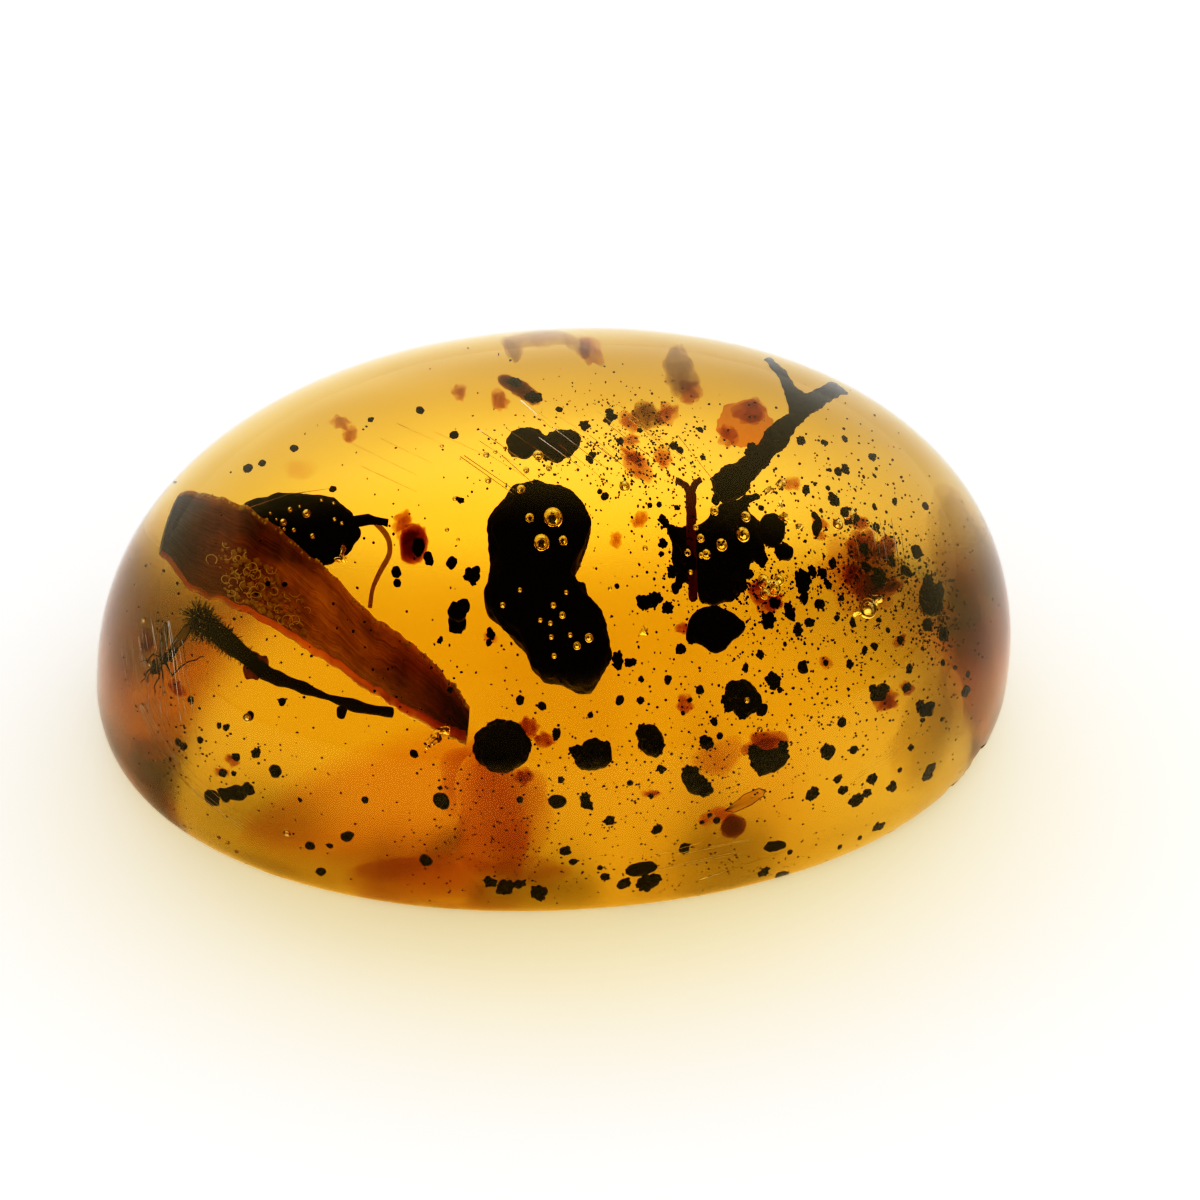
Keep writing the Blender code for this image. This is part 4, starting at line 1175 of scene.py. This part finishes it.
def midge():
    axes = in_place(*MIDGE_PLACE)
    body, veins, films = [Heap(axes) for piece in range(3)]
    body.grain((-0.17, -0.14, 0.0), (0.16, 0.18, 0.15), detail=4, rough=0.12, lumps=2.6, seed=1)
    body.grain((-0.26, -0.28, 0.02), (0.08, 0.08, 0.08), detail=3, rough=0.1, seed=2)
    ringed_body(body, (-0.08, -0.04, 0.0), (0.26, 0.36, 0.0), 0.11, 9, seed=3)
    for spot in ((-0.31, -0.25, 0.06), (-0.23, -0.33, 0.06)):
        body.grain(spot, (0.035, 0.035, 0.03), rough=0.0)
    for stops in (
        ((0.02, 0.02, 0.0), (0.28, -0.22, 0.05), (0.55, 0.14, 0.05), (0.80, 0.30, 0.03), (0.98, 0.44, 0.0)),
        ((-0.08, -0.08, 0.0), (0.04, -0.28, 0.04), (0.10, -0.50, 0.02), (0.16, -0.72, 0.0)),
        ((0.10, 0.14, 0.0), (0.30, 0.10, 0.06), (0.34, -0.14, 0.05), (0.42, -0.34, 0.0)),
        ((-0.10, -0.10, -0.05), (-0.02, -0.35, -0.20), (-0.10, -0.55, -0.30), (-0.04, -0.75, -0.35)),
        ((0.00, 0.04, -0.05), (-0.30, 0.10, -0.25), (-0.42, -0.08, -0.35), (-0.60, -0.16, -0.40)),
        ((-0.22, -0.20, 0.05), (-0.42, -0.34, 0.16), (-0.46, -0.54, 0.15), (-0.56, -0.66, 0.10)),
    ):
        leg(body, stops)
    for stops in (
        ((-0.28, -0.28, 0.0), (-0.40, -0.22, 0.05), (-0.52, -0.06, 0.08)),
        ((-0.28, -0.30, 0.0), (-0.36, -0.42, 0.02), (-0.36, -0.60, 0.04)),
    ):
        leg(body, stops, 0.016, 0.006)
        for share in (0.3, 0.45, 0.6, 0.75, 0.9):
            root = Vector(stops[1]).lerp(Vector(stops[2]), share)
            for side in (-1, 1):
                tip = root + Vector((0.07 * side, 0.05, 0.02))
                body.thread([root, tip], 0.005, 0.002, sides=4, steps=1)
    fore = ((0.06, 0.20), (0.16, 0.24), (0.40, 0.55), (0.50, 0.86), (0.42, 1.00), (0.28, 0.86), (0.12, 0.50))
    hind = (
        (-0.12, 0.02), (-0.04, 0.06), (-0.02, 0.40), (-0.10, 0.76),
        (-0.22, 0.86), (-0.28, 0.70), (-0.20, 0.30),
    )
    wing(films, veins, fore, ((0, 3), (0, 4), (0, 5), (1, 3)))
    wing(films, veins, hind, ((0, 3), (0, 4), (0, 5)))
    brown = sealed_finish("midge_brown", MIDGE_BROWN, 0.35)
    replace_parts(body.piece("midge_body", brown, "insect"), "midge")
    veins.piece("midge_veins", sealed_finish("midge_vein", MIDGE_VEIN, 0.4), "insect")
    films.piece("midge_wings", stained_finish("midge_film", FILM_COLOUR), "insect")


def barklouse():
    axes = in_place(*BARKLOUSE_PLACE)
    red, dark, veins, films, eyes = [Heap(axes) for piece in range(5)]
    red.grain((0.02, 0.18, 0.0), (0.36, 0.22, 0.22), turn=-18, detail=4, rough=0.14, seed=1)
    red.grain((-0.38, 0.10, 0.0), (0.22, 0.20, 0.19), detail=4, rough=0.12, seed=2)
    dark.grain((0.33, -0.18, 0.0), (0.34, 0.33, 0.30), turn=-30, detail=4, rough=0.18, seed=3)
    for number in range(6):
        spot = Vector((0.13, -0.04, 0.02)).lerp(Vector((0.55, -0.34, 0.02)), number / 5)
        size = 0.33 * math.sin(math.pi * (0.30 + 0.44 * number / 5))
        dark.grain(spot, (0.055, size, size * 0.95), turn=-34, detail=3, rough=0.1, seed=9 + number)
    for spot in ((-0.30, 0.20, 0.16), (-0.50, 0.02, 0.12)):
        eyes.grain(spot, (0.07, 0.06, 0.06), detail=3, rough=0.0)
    for stops in (
        ((-0.45, 0.24, 0.05), (-0.62, 0.44, 0.06), (-0.92, 0.43, 0.05), (-1.22, 0.45, 0.0)),
        ((-0.52, 0.14, 0.08), (-0.66, 0.10, 0.10), (-0.84, 0.24, 0.08), (-0.98, 0.36, 0.05)),
    ):
        leg(red, stops, 0.017, 0.008)
    for stops in (
        ((-0.24, 0.06, 0.05), (-0.42, -0.16, 0.10), (-0.36, -0.52, 0.06), (-0.32, -0.74, 0.0)),
        ((0.00, 0.02, 0.10), (-0.14, -0.28, 0.18), (-0.04, -0.56, 0.12), (0.04, -0.78, 0.05)),
        ((0.20, 0.20, 0.05), (0.50, 0.20, 0.16), (0.80, 0.38, 0.10), (1.06, 0.56, 0.0)),
        ((-0.20, 0.04, -0.10), (-0.34, -0.26, -0.25), (-0.18, -0.52, -0.30), (-0.22, -0.76, -0.35)),
        ((0.05, 0.05, -0.12), (0.06, -0.30, -0.35), (0.20, -0.60, -0.35), (0.16, -0.84, -0.40)),
        ((0.20, 0.10, -0.10), (0.60, 0.04, -0.25), (0.76, -0.26, -0.25), (0.92, -0.46, -0.30)),
    ):
        leg(red, stops)
    eyes.grain((-0.12, 0.02, 0.2), (0.10, 0.10, 0.08), detail=3, rough=0.1, seed=40)
    eyes.piece("barklouse_eyes", sealed_finish("barklouse_eye", BARKLOUSE_EYE, 0.4), "insect")
    fore = ((0.10, 0.28), (0.34, 0.20), (0.80, 0.36), (1.10, 0.56), (1.16, 0.70), (0.98, 0.78), (0.60, 0.66))
    wing(films, veins, fore, ((0, 3), (0, 4), (0, 5), (1, 3)))
    reddish = clear_resin("barklouse_red", *BARKLOUSE_RED)
    blackish = clear_resin("barklouse_dark", *BARKLOUSE_DARK)
    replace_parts(red.piece("barklouse_body", reddish, "insect"), "barklouse")
    dark.piece("barklouse_abdomen", blackish, "insect")
    veins.piece("barklouse_veins", sealed_finish("barklouse_vein", BARKLOUSE_VEIN, 0.4), "insect")
    films.piece("barklouse_wing", stained_finish("barklouse_film", BARKLOUSE_FILM), "insect")


midge()
barklouse()


# --- The crumbs and the dust ---
# Crumbs of charred wood, bark and soil that the resin picked up as it ran, from coarse ones down to dust.
# Those on the left are worn round and lie apart. Those on the right are ragged and lie thick, among dust.

# Where each crumb is seen and its radius in pixels
COARSE = (
    (275, 771, 6), (310, 846, 6), (321, 872, 6), (585, 802, 7), (609, 820, 6), (565, 852, 6), (538, 892, 9),
    (707, 743, 7), (772, 680, 7), (835, 501, 6), (800, 580, 8), (813, 572, 5), (823, 574, 5), (833, 564, 5),
    (827, 583, 4), (804, 597, 5), (864, 548, 5), (880, 579, 9), (866, 567, 5), (892, 563, 5), (813, 792, 7),
    (839, 778, 5), (843, 791, 5), (874, 779, 7), (879, 827, 7), (782, 875, 7), (765, 871, 6), (644, 733, 8),
    (657, 748, 8), (652, 741, 6), (735, 688, 9), (748, 704, 8), (728, 702, 7), (742, 714, 6), (689, 773, 8),
    (705, 789, 9), (698, 780, 6), (578, 752, 8), (596, 758, 8), (606, 746, 6), (588, 764, 5), (756, 752, 9),
    (783, 747, 7), (769, 758, 8), (212, 798, 9), (225, 797, 6), (248, 789, 8), (240, 796, 5), (625, 884, 8),
    (644, 884, 12), (656, 880, 7), (604, 876, 5), (490, 882, 7), (505, 886, 10), (519, 884, 6),
    (452, 563, 5), (473, 574, 8), (809, 622, 5), (798, 630, 5), (768, 622, 7), (618, 661, 6), (630, 662, 5),
    (645, 604, 8), (653, 602, 7), (669, 608, 6), (457, 612, 10), (463, 606, 7), (396, 572, 5),
    (397, 583, 4), (418, 547, 7), (885, 688, 6), (876, 692, 6), (908, 687, 5), (921, 706, 6), (929, 711, 5),
    (923, 721, 3), (858, 800, 8), (866, 794, 5), (892, 787, 6), (827, 752, 7), (928, 775, 7), (741, 583, 6),
    (787, 552, 5), (681, 648, 5), (693, 640, 4), (556, 735, 5), (940, 592, 9), (932, 598, 11),
    (929, 582, 6), (966, 692, 6), (968, 675, 4), (516, 382, 6), (534, 396, 8), (609, 417, 7), (583, 424, 6),
    (777, 443, 5), (750, 450, 6), (716, 498, 5), (730, 520, 6), (690, 560, 9), (682, 545, 5), (672, 570, 6),
    (760, 560, 6), (748, 575, 5), (775, 603, 5), (820, 604, 5), (790, 612, 6), (849, 517, 8), (843, 512, 5),
)
SMALL = (
    (294, 448), (248, 468), (262, 463), (454, 435), (333, 489), (617, 586), (592, 455), (590, 460),
    (650, 505), (659, 504), (663, 521), (677, 507), (662, 543), (661, 553), (594, 454), (608, 412),
    (674, 446), (702, 458), (680, 450), (605, 496), (600, 491), (642, 679), (542, 706), (683, 713),
    (713, 721), (630, 783), (651, 796), (661, 769), (837, 618), (853, 623), (879, 620), (785, 644),
    (826, 663), (875, 647), (909, 668), (943, 663), (854, 750), (842, 598), (844, 438), (873, 456),
    (825, 443), (844, 470), (838, 472), (894, 501), (926, 506), (219, 725), (226, 728), (282, 702),
    (178, 742), (184, 746), (236, 757), (223, 773), (234, 773), (256, 754), (761, 508), (828, 488),
    (806, 490), (815, 515), (821, 510), (874, 507), (876, 528), (690, 700), (720, 736), (573, 862),
    (600, 868), (790, 852), (840, 848), (860, 838), (900, 770), (912, 748), (942, 720),
    (955, 668), (900, 640), (888, 630), (865, 650), (850, 665), (780, 690), (560, 780), (520, 800),
    (365, 800), (300, 800), (200, 740), (190, 700), (170, 760), (620, 700), (640, 700), (668, 680),
    (700, 690), (760, 655), (745, 668), (590, 715), (520, 700), (450, 690), (440, 640), (430, 560),
    (460, 500), (370, 420), (420, 410), (620, 440), (640, 430), (560, 410), (700, 430), (800, 440),
    (830, 470), (491, 634), (490, 642), (330, 846), (414, 754), (440, 788), (438, 800), (444, 806),
)
CRUMB_SKIN = (0.25, 0.11, 0.04)
CRUMB_SIZE = 0.92  # a crumb's knobs stand out past its radius
RAGGED_FROM = 470  # the crumbs to the right of this pixel are ragged
# How many grains a crumb has, their sizes as shares of its radius, and how knobbly they are
RAGGED = (3, (0.55, 0.85), 0.75)
WORN = (1, (0.8, 1.1), 0.25)
DUST_SIZE = (0.6, 1.6)  # of a mote, in pixels
DUST_COLOUR = (0.020, 0.008, 0.003)
# Clouds of dust: the pixel at the middle, the spread across and down in pixels, and how many motes
CLOUDS = (
    (560, 640, 260, 150, 420), (820, 620, 80, 80, 440), (720, 560, 60, 50, 320), (875, 570, 30, 26, 420),
    (510, 790, 34, 50, 90), (640, 790, 110, 50, 160), (860, 700, 80, 60, 320), (680, 870, 90, 16, 160),
    (540, 450, 40, 24, 160), (932, 600, 16, 26, 240), (220, 770, 50, 30, 120), (650, 460, 34, 26, 420),
    (160, 650, 20, 50, 60), (480, 850, 60, 25, 120), (820, 490, 50, 40, 180), (330, 700, 100, 60, 90),
    (940, 632, 14, 14, 120), (745, 590, 30, 24, 240), (690, 770, 60, 40, 200), (620, 420, 40, 24, 160),
)
# Scraps that light comes through: where each is seen, its radius in pixels and how deep it lies
STAINS = (
    (684, 628, 7, 0.35), (402, 522, 9, 0.42), (408, 536, 8, 0.42), (862, 545, 14, 0.34),
    (884, 548, 12, 0.34), (870, 590, 14, 0.34), (890, 588, 10, 0.34), (852, 575, 10, 0.34),
    (632, 456, 9, 0.50), (663, 458, 9, 0.50), (630, 440, 8, 0.50), (666, 414, 10, 0.55),
    (630, 420, 10, 0.55), (750, 412, 12, 0.50), (728, 436, 9, 0.50), (340, 422, 7, 0.50),
    (350, 434, 7, 0.50), (528, 728, 10, 0.35), (545, 740, 9, 0.35), (524, 776, 9, 0.40),
    (765, 745, 16, 0.28), (886, 700, 12, 0.30), (908, 688, 8, 0.30), (491, 638, 6, 0.30),
    (820, 522, 7, 0.30), (820, 535, 6, 0.30), (686, 704, 8, 0.40), (651, 794, 7, 0.30), (826, 663, 6, 0.30),
    (900, 640, 7, 0.30), (640, 520, 7, 0.45), (616, 540, 6, 0.45), (770, 600, 12, 0.38),
    (760, 588, 10, 0.38), (792, 484, 7, 0.32), (147, 645, 8, 0.35), (145, 634, 6, 0.35),
    (176, 688, 8, 0.35), (232, 760, 7, 0.30), (222, 772, 7, 0.30), (858, 522, 9, 0.34),
    (690, 392, 10, 0.60), (590, 352, 9, 0.62), (500, 400, 9, 0.50), (460, 392, 7, 0.55),
)
STAIN = ((0.62, 0.25, 0.0), 7500.0)
# Where the resin is darker and redder: the pixel at its middle, its half sizes in millimetres, its turn, and
# how deep
DARKER_PATCHES = (
    (503, 815, (1.25, 0.9, 1.7), 10, 0.42), (478, 780, (0.8, 0.7, 0.9), 30, 0.45),
    (532, 872, (0.9, 0.5, 0.5), 0, 0.40), (856, 574, (0.95, 0.75, 0.8), -20, 0.36),
    (300, 470, (0.4, 0.3, 0.2), -20, 0.36), (425, 880, (1.9, 0.8, 0.8), 0, 0.40),
    (720, 758, (0.7, 0.5, 0.5), 15, 0.40),
)
DARKER_PATCH_RESIN = ((0.50, 0.0, 0.0), 560.0)
# Darker resin along the rims that paints in the brown cast they take from the dark surroundings they reflect
# and bend: the same values
RIM_SHADE_PATCHES = (
    (975, 660, (1.0, 1.3, 2.0), 20, 0.40), (925, 735, (1.2, 0.9, 1.3), 35, 0.40),
    (965, 540, (0.8, 1.2, 1.4), 0, 0.45), (118, 678, (0.42, 0.9, 1.0), -10, 0.40),
    (265, 862, (1.0, 0.3, 0.25), -25, 0.40),
)
RIM_SHADE_RESIN = ((0.42, 0.30, 0.0), 380.0)
# The edge of a flat layer of brown resin that darkens the lower left: the pixels round it
BROWN_LAYER_EDGE = (
    (236, 830), (292, 790), (335, 768), (399, 742), (455, 728), (500, 760), (530, 830), (520, 880),
    (430, 878), (330, 858), (270, 846),
)
BROWN_THICKNESS = 0.9 * MM
BROWN = ((0.72, 0.12, 0.0), 640.0)


def scatter(heap, draw, pixel, radius, share, ragged):
    """A crumb: a worn one is a single grain, and a ragged one is three that have clotted."""
    spot = seen_at(pixel, share)
    size = radius * PIXEL
    grains, shares, rough = RAGGED if ragged else WORN
    for number in range(grains):
        half = [size * draw.uniform(*shares) for axis in "xyz"]
        away = Vector([draw.uniform(-0.5, 0.5) * size for axis in "xyz"]) if number else Vector()
        turn, tilt = draw.uniform(0, 360), draw.uniform(-60, 60)
        heap.grain(spot + away, half, turn, tilt, 3, rough, 1.7, draw.randrange(900))


def crumbs():
    draw = random.Random(5)
    heap = Heap()
    for x, y, radius in COARSE:
        scatter(heap, draw, (x, y), CRUMB_SIZE * radius, draw.uniform(0.22, 0.5), x > RAGGED_FROM)
    for pixel in SMALL:
        scatter(heap, draw, pixel, draw.uniform(2.2, 4.4), draw.uniform(0.15, 0.55), draw.random() < 0.5)
    heap.piece("fine_crumbs", CHAR, "charred_wood")


def dust():
    draw = random.Random(23)
    heap = Heap()
    for x, y, across, down, count in CLOUDS:
        made = 0
        while made < count:
            pixel = (draw.gauss(x, across), draw.gauss(y, down))
            share, size = draw.uniform(0.15, 0.7), draw.uniform(*DUST_SIZE) * PIXEL
            turn = draw.uniform(0, 360)
            if not meet_face(pixel):
                continue
            made += 1
            half = (size, size * draw.uniform(0.5, 1.0), size * 0.7)
            heap.grain(seen_at(pixel, share), half, turn, 0.0, 1, 0.0)
    heap.piece("dust", sealed_finish("dust", DUST_COLOUR, 0.7), "charred_wood", smooth_angle=70)


def stains():
    draw = random.Random(31)
    scraps, brown = Heap(), Heap()
    for x, y, radius, share in STAINS:
        half = Vector((1.15 * radius, 0.9 * radius, 0.55 * radius)) * PIXEL
        turn, tilt = draw.uniform(0, 360), draw.uniform(-30, 30)
        scraps.grain(seen_at((x, y), share), half, turn, tilt, 4, 0.6, 1.6, draw.randrange(900))
    scraps.piece("brown_scraps", clear_resin("brown_scraps", *STAIN), "leaf")
    # Darker, redder patches here and there, and darker resin along the rims that paints in their brown cast
    for name, runs, resin in (("darker_resin", DARKER_PATCHES, DARKER_PATCH_RESIN), ("rim_shade_resin", RIM_SHADE_PATCHES, RIM_SHADE_RESIN)):
        heap = Heap()
        for x, y, half_sizes, turn, share in runs:
            half = Vector(half_sizes) * MM
            heap.grain(seen_at((x, y), share), half, turn, detail=5, rough=0.5, lumps=1.2, seed=x)
        heap.piece(name, clear_resin(name, *resin), "copal")
    outline = [seen_at(pixel, 0.5) for pixel in BROWN_LAYER_EDGE]
    brown.plate(outline[::-1], Vector((0.0, 0.0, BROWN_THICKNESS)))
    brown.piece("brown_resin", clear_resin("brown_resin", *BROWN), "copal")


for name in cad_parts:
    if name.startswith("crumb") and name not in SCRAPS:
        roughen(dress(name, CHAR), *CRUMB_SKIN)
crumbs()
dust()
stains()
